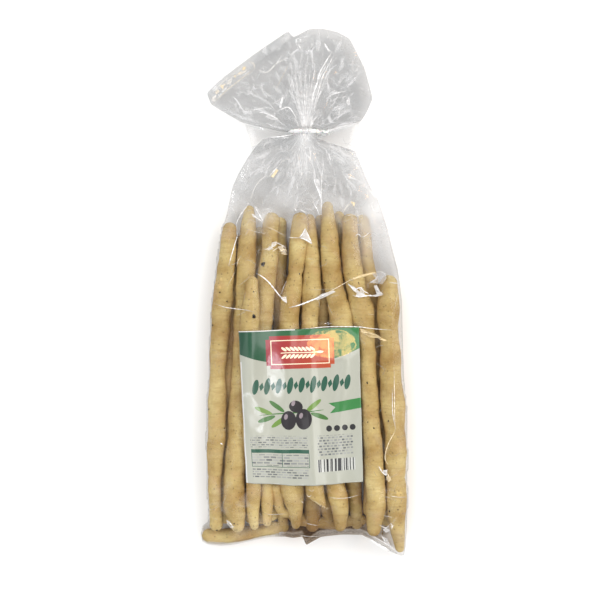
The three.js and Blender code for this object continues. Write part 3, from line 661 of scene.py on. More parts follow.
fan = {
    "foot": (1, 127.5),  # where the pleats meet
    "start": 3.6,  # distance from the foot at which the fan begins
    "reach": 80,  # about where it ends
    "streak": (34, 7),  # breadth for each radian, and length, of the whitened streaks
    "rim": [(12.5, 129.8), (47, 138), (52, 146), (56.8, 157), (50, 182), (38, 206), (27.6, 211.6),
            (15, 214.4), (4.5, 213.8), (-8.5, 207), (-12.6, 212.2), (-42.4, 191.8), (-66.4, 173.6),
            (-79.3, 161.4), (-75.6, 152), (-50, 137), (-22, 130.6), (-8.5, 129.6)],
    "rings": 112,
    "rimPitch": 0.95,
    "rimRounding": 5,  # points of the rim over which its corners are rounded
    "middle": [(0, 12), (0.4, 11.6), (1, 9)],  # height at shares of the way to the rim
    "half": [(0, 4.6), (0.12, 3.6), (0.4, 2.3), (0.8, 1.4), (0.97, 0.5), (1, 0.1)],
    "pleats": 34,
    "gather": 0.42,  # how much closer the pleats stand in the middle of the fan
    "bundle": (0.48, 0.13),  # direction and spread of the deep pleats, in half turns
    "pleatHeight": [(0, 0.08), (0.1, 0.18), (0.35, 0.6), (0.55, 0.75), (0.75, 0.4), (0.92, 0.1), (1, 0)],
    "crumple": [(0, 0), (0.25, 0.3), (0.6, 0.55), (0.9, 0.4), (1, 0)],
    "crumpleLength": 22,
    "smoke": [(-80, 0.29), (-45, 0.22), (0, 0.23), (25, 0.29), (56, 0.33)],  # by x
    "haze": [(0, 0.85), (0.1, 0.6), (0.25, 0.25), (0.45, 0.05), (1, 0.0)],
    "sealFrom": (-79.3, 161.4),
    "sealTo": (-12.6, 212.2),
    "sealWidth": 6.6,
    "sealSmoke": (0.16, -50, -25),  # how much greyer its smooth upper end is, and from where
    "creases": [
        # width, whiteness and warmth of the painted highlight, and then x and y of the points on the way
        (0.7, 0.9, 0.1, -40.6, 181.4, -30.1, 177.9, -21.8, 185.2, -12, 190.1),
        (0.55, 0.6, 0.4, -22.9, 163, -17.7, 173.3, -12.3, 184.1),
        (0.6, 0.8, 0, -25.2, 152, -21.8, 153.7, -17.2, 157.2), (1.2, 1, 0, -16.9, 158, -19.4, 149.1),
        (0.9, 1, 0, -22.1, 145.6, -12.5, 148.7, -8.2, 144, -4.9, 137.7),
        (0.6, 0.9, 0, -45.8, 146.3, -37.3, 147.5, -29.1, 148.7, -22.7, 145.6),
        (0.8, 1, 0, -37.5, 145.2, -29.1, 143.4, -22.9, 140.3, -18.3, 137.4),
        (1.5, 1, 0, 23.8, 195.4, 17.9, 185.7, 13.8, 178.5, 11.2, 169.2, 7.9, 158.9, 6.1, 147.5),
        (0.9, 1, 0, 25.9, 194, 20.5, 183.7, 15.3, 173.3, 13.1, 165.1, 10, 154.7, 8.3, 143.4),
        (0.8, 0.9, 0, 19.5, 184.7, 14.8, 176.4, 12.2, 170.2),
        (0.9, 1, 0, 16.7, 202.7, 19.5, 197.1, 23, 194.8), (0.9, 1, 0, -4.5, 201.6, -1, 194.8),
        (0.5, 0.7, 0, -1.2, 195, -2.4, 184.7), (0.8, 0.9, 0, 19.7, 156.6, 24.6, 159.9, 35.8, 162.7),
        (0.6, 0.8, 0, 37.5, 158.9, 34.8, 152), (0.6, 0.8, 0, 29.4, 148.9, 28.8, 142.3, 27.5, 137.7),
        (1.7, 1, 0, 14.1, 126.6, 20.5, 129.9, 29.8, 133, 40.1, 135.6, 45.8, 137.4),
        (1.2, 0.9, 0, 13.3, 125, 19.5, 127.3, 25.7, 129.3),
        (0.6, 0.7, 0, -47.2, 135.9, -38.4, 133, -28, 130.4, -19.8, 128.9),
        (0.4, 0.5, 0, -39.4, 137.2, -26, 132),
        (0.8, 0.8, 0.4, -74.7, 152, -63.2, 163, -52.8, 171.3, -40, 181),
        (0.6, 0.7, 0.2, -76.8, 158.3, -67.3, 169.2, -57, 177.5, -44.2, 187.6),
        (0.7, 0.8, 0.4, -44.6, 187.6, -40.6, 184.9, -40, 180.6), (1.9, 0.9, 0.8, -50.3, 180, -47.5, 182.8),
        (1, 0.8, 0.6, -54.4, 176.2, -50.8, 179), (1.1, 0.8, 0.5, -68.3, 166.1, -63.2, 169.2),
        (1, 0.9, 0.1, -74.3, 153.7, -71.6, 156.6), (0.8, 0.8, 0.2, -60.6, 172.1, -56.8, 175.8),
        (0.6, 0.8, 0, -59.9, 153.7, -58.2, 152.2), (0.5, 0.7, 0, -7.4, 206.2, 1.9, 207.4, 8.1, 208.5),
        (0.4, 0.6, 0, -5.8, 204.1, 2.4, 203.3), (0.5, 0.7, 0, 38.9, 180.6, 43.2, 170.2, 49.6, 162.5),
        (0.5, 0.7, 0, 49.4, 173.8, 52.7, 166.1, 53.8, 155.8),
        (0.45, 0.6, 0, 40.7, 184.7, 38.1, 177.5, 39.1, 171.3), (0.45, 0.6, 0, -32.2, 175.4, -21.8, 175.2),
        (0.5, 0.7, 0, -28, 174.6, -27.4, 165.1), (0.5, 0.8, 0, -39.2, 167.3, -32.2, 166.5),
        (0.5, 0.7, 0, -35.3, 165.1, -31.1, 158.9, -27.2, 158.3), (0.6, 0.8, 0, -42.7, 174.9, -40, 170),
        (0.5, 0.7, 0, -22.4, 184.7, -18.7, 189.9, -16.5, 193.4),
        (0.45, 0.7, 0, 6.1, 182.4, 4.8, 171.3, 5.2, 159.9), (0.5, 0.8, 0, 9.8, 182, 8.3, 175.4, 7.9, 169.2),
        (0.45, 0.7, 0, 4, 195, 3.2, 187.8, 2.7, 179.5), (0.45, 0.6, 0, -7.4, 176.4, -6.8, 169.2),
        (0.45, 0.6, 0, -10, 180.6, -9.4, 171.3, -11.5, 160.9),
        (0.6, 0.8, 0, 26.2, 170.2, 28.3, 170.4, 30.8, 168),
        (0.45, 0.6, 0, 24.6, 170.2, 28.8, 167.1, 33.9, 165.1),
        (0.5, 0.6, 0, 21.5, 153.7, 27.7, 156.8, 36, 157.8),
        (0.5, 0.7, 0, 9.1, 204.3, 7.1, 200.2, 1.9, 191.9), (0.45, 0.6, 0, 25.7, 202.3, 22.6, 205.4),
    ],
}


def fromTable(table, place):  # a value between the rows of a table
    table = sorted(table)
    return np.interp(place, [row[0] for row in table], [row[1] for row in table])


def creaseHeight(x, y, creases):  # ridges with one wide and one narrow side
    total = np.zeros_like(x)
    share, left, right = film["ridge"]
    for width, white, warm, *way in creases:
        way = np.reshape(way, (-1, 2)).astype(float)
        steps = np.diff(way, axis=0)
        lengths = np.linalg.norm(steps, axis=1)
        walked = np.concatenate([[0], np.cumsum(lengths)])
        best = np.full(x.shape, 1e6)
        place = np.zeros_like(x)
        for start, step, length, before in zip(way, steps, lengths, walked):
            dx, dy = x - start[0], y - start[1]
            reach = np.clip((dx * step[0] + dy * step[1]) / length ** 2, 0, 1)
            offX, offY = dx - reach * step[0], dy - reach * step[1]
            side = step[0] * offY - step[1] * offX
            apart = np.hypot(offX, offY) / np.where(side > 0, left, right)
            place = np.where(apart < best, (before + reach * length) / walked[-1], place)
            best = np.minimum(best, apart)
        fade = np.minimum(1, 5 * np.minimum(place, 1 - place) + 0.15)
        total += share * width * np.maximum(0, 1 - best) * fade
    return total


def pleatProfile(share, count, seed):  # uneven folds side by side, about -1 to 1
    draw = np.random.default_rng(seed)
    knots = np.cumsum(draw.uniform(0.4, 1.6, 2 * count + 1))
    knots = (knots - knots[0]) / (knots[-1] - knots[0])
    heights = draw.uniform(0.35, 1, 2 * count + 1) * np.where(np.arange(2 * count + 1) % 2, 1, -1)
    order = np.clip(np.searchsorted(knots, share) - 1, 0, 2 * count - 1)
    between = (share - knots[order]) / (knots[order + 1] - knots[order])
    return heights[order] + (heights[order + 1] - heights[order]) * smoothStep(between, 0, 1)


def underLabel(x, y):  # 1 where the label holds the film flat
    return (smoothStep(x, -57, -53) * smoothStep(-x, -51, -47)
            * smoothStep(y, -164, -160) * smoothStep(-y, 25, 29))


def filmGrid():  # plan of the film: x, y, place across from 0 to 1, and height at its border
    levels = np.concatenate([np.arange(high, low, -pitch) for high, low, pitch in film["rows"]])
    levels = levels[::-1]
    even = np.linspace(0, 1, film["columns"])
    across = film["crowding"] * (1 - np.cos(math.pi * even)) / 2 + (1 - film["crowding"]) * even
    rowsOfSticks = coverTops[np.searchsorted(fieldY, levels)] > 0
    firstStick = np.where(rowsOfSticks.any(1), fieldX[rowsOfSticks.argmax(1)], 0) - 1
    lastStick = np.where(rowsOfSticks.any(1), fieldX[::-1][rowsOfSticks[:, ::-1].argmax(1)], 0) + 1
    left = np.minimum(fromTable(film["left"], levels), firstStick)
    right = np.maximum(fromTable(film["right"], levels), lastStick)
    ends = np.linspace(1, 0, film["endRows"], endpoint=False)
    left = np.concatenate([fromTable(film["endLeft"], ends), left])
    right = np.concatenate([fromTable(film["endRight"], ends), right])
    x = left[:, None] + (right - left)[:, None] * across
    y = np.broadcast_to(levels[:, None], (len(levels), len(across)))
    lowest = y[:1]
    left, right = film["endLeft"][-1][1], film["endRight"][-1][1]
    bottom = fromTable(film["bottom"], left + (right - left) * across)
    y = np.vstack([lowest + ends[:, None] * (bottom - lowest), y])
    return x, y, np.broadcast_to(across, x.shape), ends


coverTops, coverBottoms = coverSticks(film["gap"], 0)
filmX, filmY, filmAcross, filmEnds = filmGrid()
borderHeight = np.zeros_like(filmX)
borderHeight[:, 0] = fromTable(film["leftHeight"], filmY[:, 0])
borderHeight[:, -1] = fromTable(film["rightHeight"], filmY[:, -1])
lowCorner = film["endHeight"][0][1]
rising = smoothStep(-filmEnds, -0.7, -0.4)
borderHeight[:len(filmEnds), 0] = lowCorner + (borderHeight[len(filmEnds), 0] - lowCorner) * rising
borderHeight[0] = fromTable(film["endHeight"], filmAcross[0])
borderHeight[-1] = film["leftHeight"][0][1]
border = np.zeros(filmX.shape, bool)
border[[0, -1]] = border[:, [0, -1]] = True
for x, y, z in zip(filmX[border], filmY[border], borderHeight[border]):
    pressInto(coverTops, coverBottoms, x, y, z, film["edge"])
levels = fieldY[:, None]
leftSide, rightSide, shoulderTop, shoulderUnder = [
    fromTable(film[key], levels) for key in ("left", "right", "shoulderTop", "shoulderUnder")]
shoulderShare = (fieldX - leftSide) / (rightSide - leftSide)
shoulderArch = np.sqrt(np.maximum(1 - (2 * shoulderShare - 1) ** 4, 0))
shoulderMiddle, shoulderHalf = (shoulderTop + shoulderUnder) / 2, (shoulderTop - shoulderUnder) / 2
onShoulder = (shoulderArch > 0) & (levels > film["shoulderFrom"])
shoulderTops = np.where(onShoulder, shoulderMiddle + shoulderHalf * shoulderArch, -field["empty"])
shoulderBottoms = np.where(onShoulder, shoulderMiddle - shoulderHalf * shoulderArch, field["empty"])
filmTops = blur(bridge(np.maximum(coverTops, shoulderTops), *film["bend"]), film["blur"])
filmBottoms = blur(-bridge(-np.minimum(coverBottoms, shoulderBottoms), *film["bend"]), film["blur"])


def filmSheets():
    plan = np.stack([filmX, filmY], -1)
    toBorder = np.minimum(filmAcross, 1 - filmAcross) * (filmX[:, -1:] - filmX[:, :1])
    toBorder = np.minimum(toBorder, np.abs(filmY - filmY[0]))
    free = smoothStep(toBorder, 0, 7) * (1 - underLabel(filmX, filmY))
    sheets = []
    for side, heights, seed in ((1, filmTops, 3), (-1, filmBottoms, 8)):
        z = heightsAt(heights, filmX, filmY)
        pleats = pleatProfile(filmAcross + 0.004 * waveField(plan, 40, seed), film["pleats"], seed)
        deep = 0.3 + 0.7 * np.exp(-((filmX - 1) / film["bundle"]) ** 2)
        folds = fromTable(film["crumple"], filmY) * (foldField(plan, film["crumpleLength"], seed + 1)
                                                 + 0.4 * foldField(plan, film["crumpleLength"] / 2, seed + 2))
        lift = np.maximum(folds, 0) + fromTable(film["pleatHeight"], filmY) * deep * (1 + pleats) / 2
        if side > 0:
            lift = lift + creaseHeight(filmX, filmY, film["creases"])
        z = z + side * lift * free
        if side > 0:
            held = heightsAt(labelRelief, filmX, filmY) + film["gap"]
            z = z + (np.minimum(z, held) - z) * underLabel(filmX, filmY)
        z = np.clip(z, film["ground"], film["highest"])
        sheets.append(np.where(border, borderHeight, z))
    top, bottom = sheets
    bottom = np.where(border, bottom, np.minimum(bottom, top - 0.15))
    return np.stack([filmX, filmY, top], -1), np.stack([filmX, filmY, bottom], -1)


clearFilm = {
    "tint": "#F6F6F6",
    "smoke": "#B2B4B6",
    # brown of crumb dust, and painted shade between the sticks' ends at the bottom
    "dust": "#A8957C",
    "facets": 0.015,  # size of the flat spots between fine creases, in metres
    "tilt": 0.42,
    # share of painted white highlight along the creases and pleats
    "streakHighlight": 0.5,
    "mirror": 0.02,  # share that both faces of the film mirror head on
    "edgeMirror": 0.75,
    "roughness": 0.075,
    "haze": "#F4F5F6",
}


def polypropylene(add):  # thin clear cast film: it dims little, mirrors lamps in its creases, and has painted highlights along its creases and pleats
    where = add("TexCoord").outputs["Object"]
    crinkled, smoke, dust, haze = [add("Attribute", {"attribute_name": name}).outputs["Fac"]
                                   for name in ("crinkled", "smoke", "dust", "haze")]
    spoke = add("Attribute", {"attribute_name": "spokes"}).outputs["Vector"]
    # flat spots that each lean their own way
    bent = add("TexNoise", {"Scale": 1 / 0.03, "Detail": 1.0, "Vector": where})
    moved = add("VectorMath", {"operation": "MULTIPLY_ADD", 1: (0.012, 0.012, 0.012),
                               0: bent.outputs["Color"], 2: where})
    large, small = [add("TexVoronoi", {"Scale": size / clearFilm["facets"], "Vector": moved}).outputs["Color"]
                    for size in (1, 2.3)]
    both = add("Mix", {"data_type": "VECTOR", 0: 0.45, 4: large, 5: small})
    lean = add("VectorMath", {"operation": "SUBTRACT", 1: (0.5, 0.5, 0.5), 0: both})
    strength = add("Math", {"operation": "MULTIPLY", 1: clearFilm["tilt"], 0: crinkled})
    leaning = add("VectorMath", {"operation": "SCALE", 0: lean, 3: strength})
    normal = add("NewGeometry").outputs["Normal"]
    tilted = add("VectorMath", {"operation": "ADD", 0: normal, 1: leaning})
    unit = add("VectorMath", {"operation": "NORMALIZE", 0: tilted})
    crinkle = add("TexNoise", {"Scale": 1 / 0.006, "Detail": 2.0, "Vector": where})
    bump = add("Bump", {"Strength": 0.35, "Distance": 0.0005, "Height": crinkle, "Normal": unit})
    # painted highlights: white lines along the edges of the flat spots, and streaks along the pleats
    longer = add("VectorMath", {"operation": "MULTIPLY", 1: (1.3, 2.4, 1), 0: spoke})
    swayed = add("VectorMath", {"operation": "MULTIPLY_ADD", 1: (0.012, 0.012, 0.012),
                                0: bent.outputs["Color"], 2: longer})
    parts = []
    for size, place, out, rim, most, patch, none, full in (  # wide and then narrow lines, in patches
            (1, swayed, 0.035, 0.01, 0.8, 0.016, 0.5, 0.66),
            (2.3, moved, 0.06, 0.02, 0.5, 0.009, 0.54, 0.68)):
        edges = add("TexVoronoi", {"feature": "DISTANCE_TO_EDGE", "Scale": size / clearFilm["facets"],
                                   "Vector": place})
        edge = add("MapRange", {"From Min": out, "From Max": rim, "To Max": most, "Value": edges})
        patches = add("TexNoise", {"Scale": 1 / patch, "Detail": 1.0, "Vector": where})
        shown = add("MapRange", {"From Min": none, "From Max": full, "Value": patches})
        parts.append(add("Math", {"operation": "MULTIPLY", 0: edge, 1: shown}))
    edgeShown = add("Math", {"operation": "MAXIMUM", 0: parts[0], 1: parts[1]})
    pleats = add("TexNoise", {"Scale": 1 / 0.0034, "Detail": 2.0, "Vector": spoke})
    streak = add("MapRange", {"From Min": 0.56, "From Max": 0.74, "To Max": 0.7, "Value": pleats})
    lines = add("Math", {"operation": "MAXIMUM", 0: edgeShown, 1: streak})
    paintedStreaks = add("Math", {"operation": "MULTIPLY", 0: lines, 1: crinkled})
    hazeAndHighlights = add("Math", {"operation": "MULTIPLY_ADD", "use_clamp": True, 1: clearFilm["streakHighlight"],
                        0: paintedStreaks, 2: haze})
    facing = add("LayerWeight", {"Blend": 0.5, "Normal": bump})
    steep = add("Math", {"operation": "POWER", 1: 4.0, 0: facing.outputs["Facing"]})
    mirror = add("MapRange", {"To Min": clearFilm["mirror"], "To Max": clearFilm["edgeMirror"],
                              "Value": steep})
    dimmed = add("Mix", {"data_type": "RGBA", 6: toLinear(clearFilm["tint"]),
                         7: toLinear(clearFilm["smoke"]), 0: smoke})
    # crumb dust and painted shade brown the film towards its bottom
    dustAndShadeTint = add("Mix", {"data_type": "RGBA", 7: toLinear(clearFilm["dust"]), 0: dust, 6: dimmed})
    through = add("BsdfTransparent", {"Color": dustAndShadeTint})
    gloss = add("BsdfGlossy", {"Roughness": clearFilm["roughness"], "Normal": bump})
    clear = add("MixShader", {0: mirror, 1: through, 2: gloss})
    # the milky white of the gathered film's haze, and of the painted highlights
    milky = add("BsdfDiffuse", {"Color": toLinear(clearFilm["haze"])})
    return add("MixShader", {0: hazeAndHighlights, 1: clear, 2: milky})


def spokes(points):  # place round and away from the neck, for pleats that run out from it
    x, y = points[:, 0] - fan["foot"][0], points[:, 1] - fan["foot"][1]
    broad, long = fan["streak"]
    away = np.hypot(x, y)
    return np.stack([np.arctan2(x, np.abs(y) + 2) * broad, away / long, 0 * away], 1) * mm


def filmLayers(points, onTop):  # whiteness (partly painted glare), greyness, crumb dust and painted shade, and crinkles of the body's film, by place
    x, y = points[:, 0], points[:, 1]
    bundle = np.exp(-((x - 1) / (5 + 0.22 * np.abs(y - 129))) ** 2)
    more, start, end = film["paintedGlareRight"]
    fog = fromTable(film["fog"], y) * (0.7 + 0.5 * waveField(points[:, :2], 24, 66)) * onTop
    # painted glare: a whitish veil over the right sticks' tops
    fog = fog + more * smoothStep(x, start, end) * smoothStep(y, 8, 40) * onTop
    more, start, end = film["smokeRight"]
    beside = more * smoothStep(x, start, end) * smoothStep(y, -8, 22) * smoothStep(-y, -90, -50)
    # crumb dust and painted shade, strongest at the bottom between the sticks' ends
    low, high = film["dustAndShadeTop"]
    topDustAndShade = low + (high - low) * smoothStep(-y, 194, 199) * smoothStep(-x, -60, -50)
    dust = fromTable(film["dust"], y) * fromTable(film["dustAndShadeAcross"], x) * np.where(onTop, topDustAndShade, 1)
    return {"haze": np.clip(fromTable(film["haze"], y) * (0.25 + 0.75 * bundle) + fog, 0, 1),
            "smoke": fromTable(film["smoke"], y) + beside, "dust": dust,
            "crinkled": fromTable(film["crinkled"], y), "spokes": spokes(points)}


filmMaterial = newMaterial("polypropylene_film", polypropylene)
filmTop, filmUnder = filmSheets()
points, faces = envelope(filmTop, filmUnder)
filmBody = meshPiece("film_body", points, faces, filmMaterial)
upperCount = filmTop.shape[0] * filmTop.shape[1]
setAttributes(filmBody.data, filmLayers(points, np.arange(len(points)) < upperCount))
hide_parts("bag")
print(f"the film's body has {len(faces)} faces")


def fanRim():  # points and directions along the rim, its corners rounded
    corners = np.array(fan["rim"], float)
    walked = np.concatenate([[0], np.cumsum(np.linalg.norm(np.diff(corners, axis=0), axis=1))])
    places = np.linspace(0, walked[-1], round(walked[-1] / fan["rimPitch"]))
    rim = np.stack([np.interp(places, walked, corners[:, k]) for k in (0, 1)], 1)
    reach = fan["rimRounding"]
    padded = np.pad(rim, ((reach // 2, reach // 2), (0, 0)), mode="edge")
    return np.stack([padded[k:k + len(rim)] for k in range(reach)]).mean(0)


def fromSeal(x, y):  # distance inwards from the seam's edge
    seam = np.array(fan["sealTo"]) - fan["sealFrom"]
    seam = seam / np.linalg.norm(seam)
    return (x - fan["sealFrom"][0]) * seam[1] - (y - fan["sealFrom"][1]) * seam[0]


def fanSheets():
    rim = fanRim()[::-1]
    foot = np.array(fan["foot"])
    spokes = rim - foot
    reach = np.linalg.norm(spokes, axis=1)
    directions = spokes / reach[:, None]
    share = np.linspace(0, 1, fan["rings"])[:, None]
    distance = fan["start"] + (reach - fan["start"]) * share
    x, y = foot[0] + distance * directions[:, 0], foot[1] + distance * directions[:, 1]
    turn = np.broadcast_to(np.arctan2(directions[:, 1], directions[:, 0]) / math.pi, x.shape)
    crowded = turn + fan["gather"] * np.sin(2 * math.pi * turn) / (2 * math.pi)
    share = np.broadcast_to(share, x.shape)
    plan = np.stack([x, y], -1)
    free = smoothStep(fromSeal(x, y), fan["sealWidth"] - 1.5, fan["sealWidth"] + 2.5)
    border = np.zeros(x.shape, bool)
    border[[0, -1]] = border[:, [0, -1]] = True
    toBorder = np.minimum(np.arange(x.shape[1]), np.arange(x.shape[1])[::-1]) * fan["rimPitch"] * share
    sheets = []
    for side, seed in ((1, 21), (-1, 34)):
        pleats = pleatProfile(crowded + 0.003 * waveField(plan, 50, seed), fan["pleats"], seed)
        folds = fromTable(fan["crumple"], share) * (foldField(plan, fan["crumpleLength"], seed + 1)
                                                + 0.5 * foldField(plan, fan["crumpleLength"] / 2.4, seed + 2))
        deep = 0.2 + 0.8 * np.exp(-((turn - fan["bundle"][0]) / fan["bundle"][1]) ** 2)
        lift = np.maximum(folds, -0.2) + fromTable(fan["pleatHeight"], share) * deep * (1 + pleats) / 2
        if side > 0:
            lift = lift + creaseHeight(x, y, fan["creases"])
        edge = smoothStep(toBorder, -1, 6)
        half = fromTable(fan["half"], share) * (0.25 + 0.75 * edge) * (0.15 + 0.85 * free)
        z = fromTable(fan["middle"], share) + side * (half + lift * edge * (0.05 + 0.95 * free))
        sheets.append(np.where(border, fromTable(fan["middle"], share), z))
    return np.stack([x, y, sheets[0]], -1), np.stack([x, y, sheets[1]], -1)


points, faces = envelope(*fanSheets())
faces = faces[:, ::-1]  # the spokes run from left to right as seen from the rim
filmFan = meshPiece("film_fan", points, faces, filmMaterial)
fanOut = points[:, :2] - fan["foot"]
fanShare = np.hypot(*fanOut.T) / fan["reach"]
fanTurn = np.arctan2(fanOut[:, 1], fanOut[:, 0]) / math.pi
fanBundle = np.exp(-((fanTurn - fan["bundle"][0]) / fan["bundle"][1]) ** 2)
more, start, end = fan["sealSmoke"]
upperSeal = smoothStep(points[:, 0], start, end) * smoothStep(-fromSeal(points[:, 0], points[:, 1]), -14, -6)
setAttributes(filmFan.data, {
    "haze": fromTable(fan["haze"], fanShare) * (0.12 + 0.88 * fanBundle),
    "smoke": fromTable(fan["smoke"], points[:, 0]) + more * upperSeal,
    "crinkled": 1 - 0.7 * fanBundle * smoothStep(-fanShare, -0.8, -0.3),
    "spokes": spokes(points),
})
print(f"the fan has {len(faces)} faces")


def rayTree(pieces):  # for dropping small things on the pieces from above
    points, faces = [], []
    for piece in pieces:
        before = len(points)
        points += [tuple(vertex.co) for vertex in piece.data.vertices]
        faces += [[corner + before for corner in polygon.vertices] for polygon in piece.data.polygons]
    return BVHTree.FromPolygons(points, faces)


def dropOn(tree, x, y):  # place and facing of what lies below a point, in millimetres
    place, facing, *_ = tree.ray_cast(Vector((x * mm, y * mm, 0.1)), Vector((0, 0, -1)))
    return (None, None) if place is None else (np.array(place) / mm, np.array(facing))


def grow(name, material, inputs, build, points, edges, faces, layers=None):
    # a Geometry Nodes tree with named inputs, run on a bed of points, as a plain mesh piece
    tree = bpy.data.node_groups.new(name, "GeometryNodeTree")
    for way in ("INPUT", "OUTPUT"):
        tree.interface.new_socket("Geometry", in_out=way, socket_type="NodeSocketGeometry")
    for label in inputs:
        tree.interface.new_socket(label, in_out="INPUT", socket_type="NodeSocketFloat")
    add = partial(addNode, tree)
    real = add("RealizeInstances", {0: build(add, add("NodeGroupInput").outputs)})
    add("NodeGroupOutput", {0: add("SetMaterial", {"Material": material, "Geometry": real})})
    mesh = newMesh(f"{name}_bed", points, edges, faces)
    setAttributes(mesh, layers or {})
    bed = bpy.data.objects.new(f"{name}_bed", mesh)
    bpy.context.scene.collection.objects.link(bed)
    modifier = bed.modifiers.new("grow", "NODES")
    modifier.node_group = tree
    for item in tree.interface.items_tree:
        if item.in_out == "INPUT" and item.name in inputs:
            modifier[item.identifier] = inputs[item.name]
    grown = bpy.data.meshes.new_from_object(bed.evaluated_get(bpy.context.evaluated_depsgraph_get()))
    bpy.data.objects.remove(bed)
    return addPiece(name, grown)


creaseLook = {
    "pitch": 0.8,  # between points along a crease
    "flat": 0.55,  # height against width
    # colours of the painted highlights on the creases: white, and cream for the warm lamp's glints
    "white": "#FFFFFF",
    "cream": "#FFE6AE",
    "roughness": 0.16,
    "strays": [  # foot, direction and spread (degrees), start, length, width, whiteness of the painted highlight, count
        ((1, 129), -90, 17, (8, 34), (9, 30), (0.25, 0.5), (0.25, 0.7), 44),
        ((1, 129), -90, 42, (26, 60), (5, 16), (0.25, 0.4), (0.2, 0.5), 26),
        ((1, 131), 86, 13, (4, 22), (18, 48), (0.25, 0.55), (0.35, 0.75), 56),
        ((1, 131), 87, 48, (14, 60), (5, 18), (0.25, 0.45), (0.2, 0.55), 40),
        ((1, 114), 90, 9, (4, 10), (14, 26), (0.5, 1.3), (0.3, 0.8), 26),
    ],
    "crinkles": [  # left, right, low and high border, length, width, whiteness of the painted highlight, count
        (-66, 52, 138, 206, (3, 11), (0.25, 0.5), (0.2, 0.55), 110),
        (-52, 58, 72, 116, (3, 10), (0.25, 0.45), (0.15, 0.45), 55),
        (-68, 72, -30, 68, (3, 12), (0.2, 0.4), (0.12, 0.4), 50),
        (50, 78, -190, -40, (3, 12), (0.2, 0.4), (0.12, 0.4), 26),
        (-74, -52, -190, -40, (3, 12), (0.2, 0.4), (0.12, 0.4), 18),
    ],
}


def strayWays():  # fine lines that run out from the neck, and short ones between them
    draw = np.random.default_rng(5)
    ways = []
    for foot, middle, spread, start, length, width, white, count in creaseLook["strays"]:
        for _ in range(count):
            turn = math.radians(middle + spread * np.clip(draw.normal(), -1.8, 1.8))
            reach = draw.uniform(*start) + np.linspace(0, draw.uniform(*length), 5)
            turns = turn + draw.normal() * 0.05 * np.linspace(-1, 1, 5) ** 2 + draw.normal(size=5) * 0.008
            way = np.stack([foot[0] + reach * np.cos(turns), foot[1] + reach * np.sin(turns)], 1)
            ways.append((draw.uniform(*width), draw.uniform(*white), 0, *way.ravel()))
    for left, right, low, high, length, width, white, count in creaseLook["crinkles"]:
        for _ in range(count):
            start = np.array([draw.uniform(left, right), draw.uniform(low, high)])
            turns = draw.uniform(0, math.pi) + np.cumsum(draw.normal(size=3) * 0.35)
            steps = draw.uniform(*length) / 3 * np.stack([np.cos(turns), np.sin(turns)], 1)
            way = start + np.vstack([[0, 0], np.cumsum(steps, axis=0)])
            # the lower crinkles get a faint cream painted glint
            warm = 0.15 if high < 70 else 0
            ways.append((draw.uniform(*width), draw.uniform(*white), warm, *way.ravel()))
    return ways


def creasedFilm(add):  # a sharp fold of film with painted highlights: white, and cream for the warm lamp's glints
    warm, white = [add("Attribute", {"attribute_name": name}).outputs["Fac"] for name in ("warm", "white")]
    # white, and cream where the warm lamp's glint is painted
    tone = add("Mix", {"data_type": "RGBA", 0: warm, 6: toLinear(creaseLook["white"]),
                       7: toLinear(creaseLook["cream"])})
    fold = add("BsdfPrincipled", {"Roughness": creaseLook["roughness"], "IOR": 1.5, "Base Color": tone})
    through = add("BsdfTransparent", {"Color": toLinear(clearFilm["tint"])})
    where = add("TexCoord").outputs["Object"]
    torn = add("Mapping", {"Rotation": (0, 0, 0.6), "Scale": (1, 3.2, 1), "Vector": where})
    patches = add("TexNoise", {"Scale": 1 / 0.009, "Detail": 2.0, "Vector": torn})
    uneven = add("MapRange", {"From Min": 0.36, "From Max": 0.6, "To Min": 0.55, "Value": patches})
    amount = add("Math", {"operation": "MULTIPLY", "use_clamp": True, 0: uneven, 1: white})
    return add("MixShader", {0: amount, 1: through, 2: fold})


def ridges(add, given):  # flat round sections carried along the ways
    curve = add("MeshToCurve", {0: given[0]})
    upright = add("SetCurveNormal", {"mode": "Z_UP", 0: curve})
    breadth = add("InputNamedAttribute", {"Name": "breadth"})
    circle = add("CurvePrimitiveCircle", {"Resolution": 8, "Radius": 1.0})
    size = add("ShaderNodeCombineXYZ", {0: 1.0, 1: given["Flatness"], 2: 1.0})
    section = add("Transform", {"Geometry": circle, "Scale": size})
    return add("CurveToMesh", {"Fill Caps": True, "Curve": upright, "Profile Curve": section,
                               "Scale": breadth})


def creaseLines(tree, ways, material):  # thin ridges along the ways, lying on the film
    points, edges, breadths, whites, warms = [], [], [], [], []
    for width, white, warm, *way in ways:
        traced, walked = traceRoute([(*place, 1) for place in np.reshape(way, (-1, 2))])
        steps = max(3, round(walked[-1] / creaseLook["pitch"]))
        first = len(points)
        for place in np.linspace(0, 1, steps + 1):
            x, y = [np.interp(place * walked[-1], walked, traced[:, k]) for k in (0, 1)]
            spot, facing = dropOn(tree, x, y)
            if spot is None:
                first = len(points)
                continue
            if len(points) > first:
                edges.append((len(points) - 1, len(points)))
            points.append(spot)
            uneven = math.sin(place * walked[-1] / 2.3 + len(points)) * math.sin(place * 7 + width)
            swell = (0.8 + 0.32 * uneven) * max(0.1, math.sin(math.pi * place)) ** 0.6
            breadths.append(width / 2 * mm * swell)
            whites.append(white * min(1, 0.45 + 3 * min(place, 1 - place)))
            warms.append(warm)
    return grow("film_creases", material, {"Flatness": creaseLook["flat"]}, ridges, points, edges, [],
                {"breadth": breadths, "white": whites, "warm": warms})


folds = {
    "corners": {
        "left": [(-41, 111.5), (-47, 136.8), (-9, 129.8), (-9, 123.2)],
        "right": [(11, 123.2), (11, 129.6), (46.5, 138.2), (41.5, 111.5)],
    },
    "rows": 40,
    "columns": 40,
    "bottom": 5.2,
    "top": 7.8,
    "tint": "#F9F9F9",
}


def paleFilm(add):  # the same film in a single flat layer that lies free and hardly dims
    through = add("BsdfTransparent", {"Color": toLinear(folds["tint"])})
    gloss = add("BsdfGlossy", {"Roughness": clearFilm["roughness"]})
    return add("MixShader", {0: 0.04, 1: through, 2: gloss})


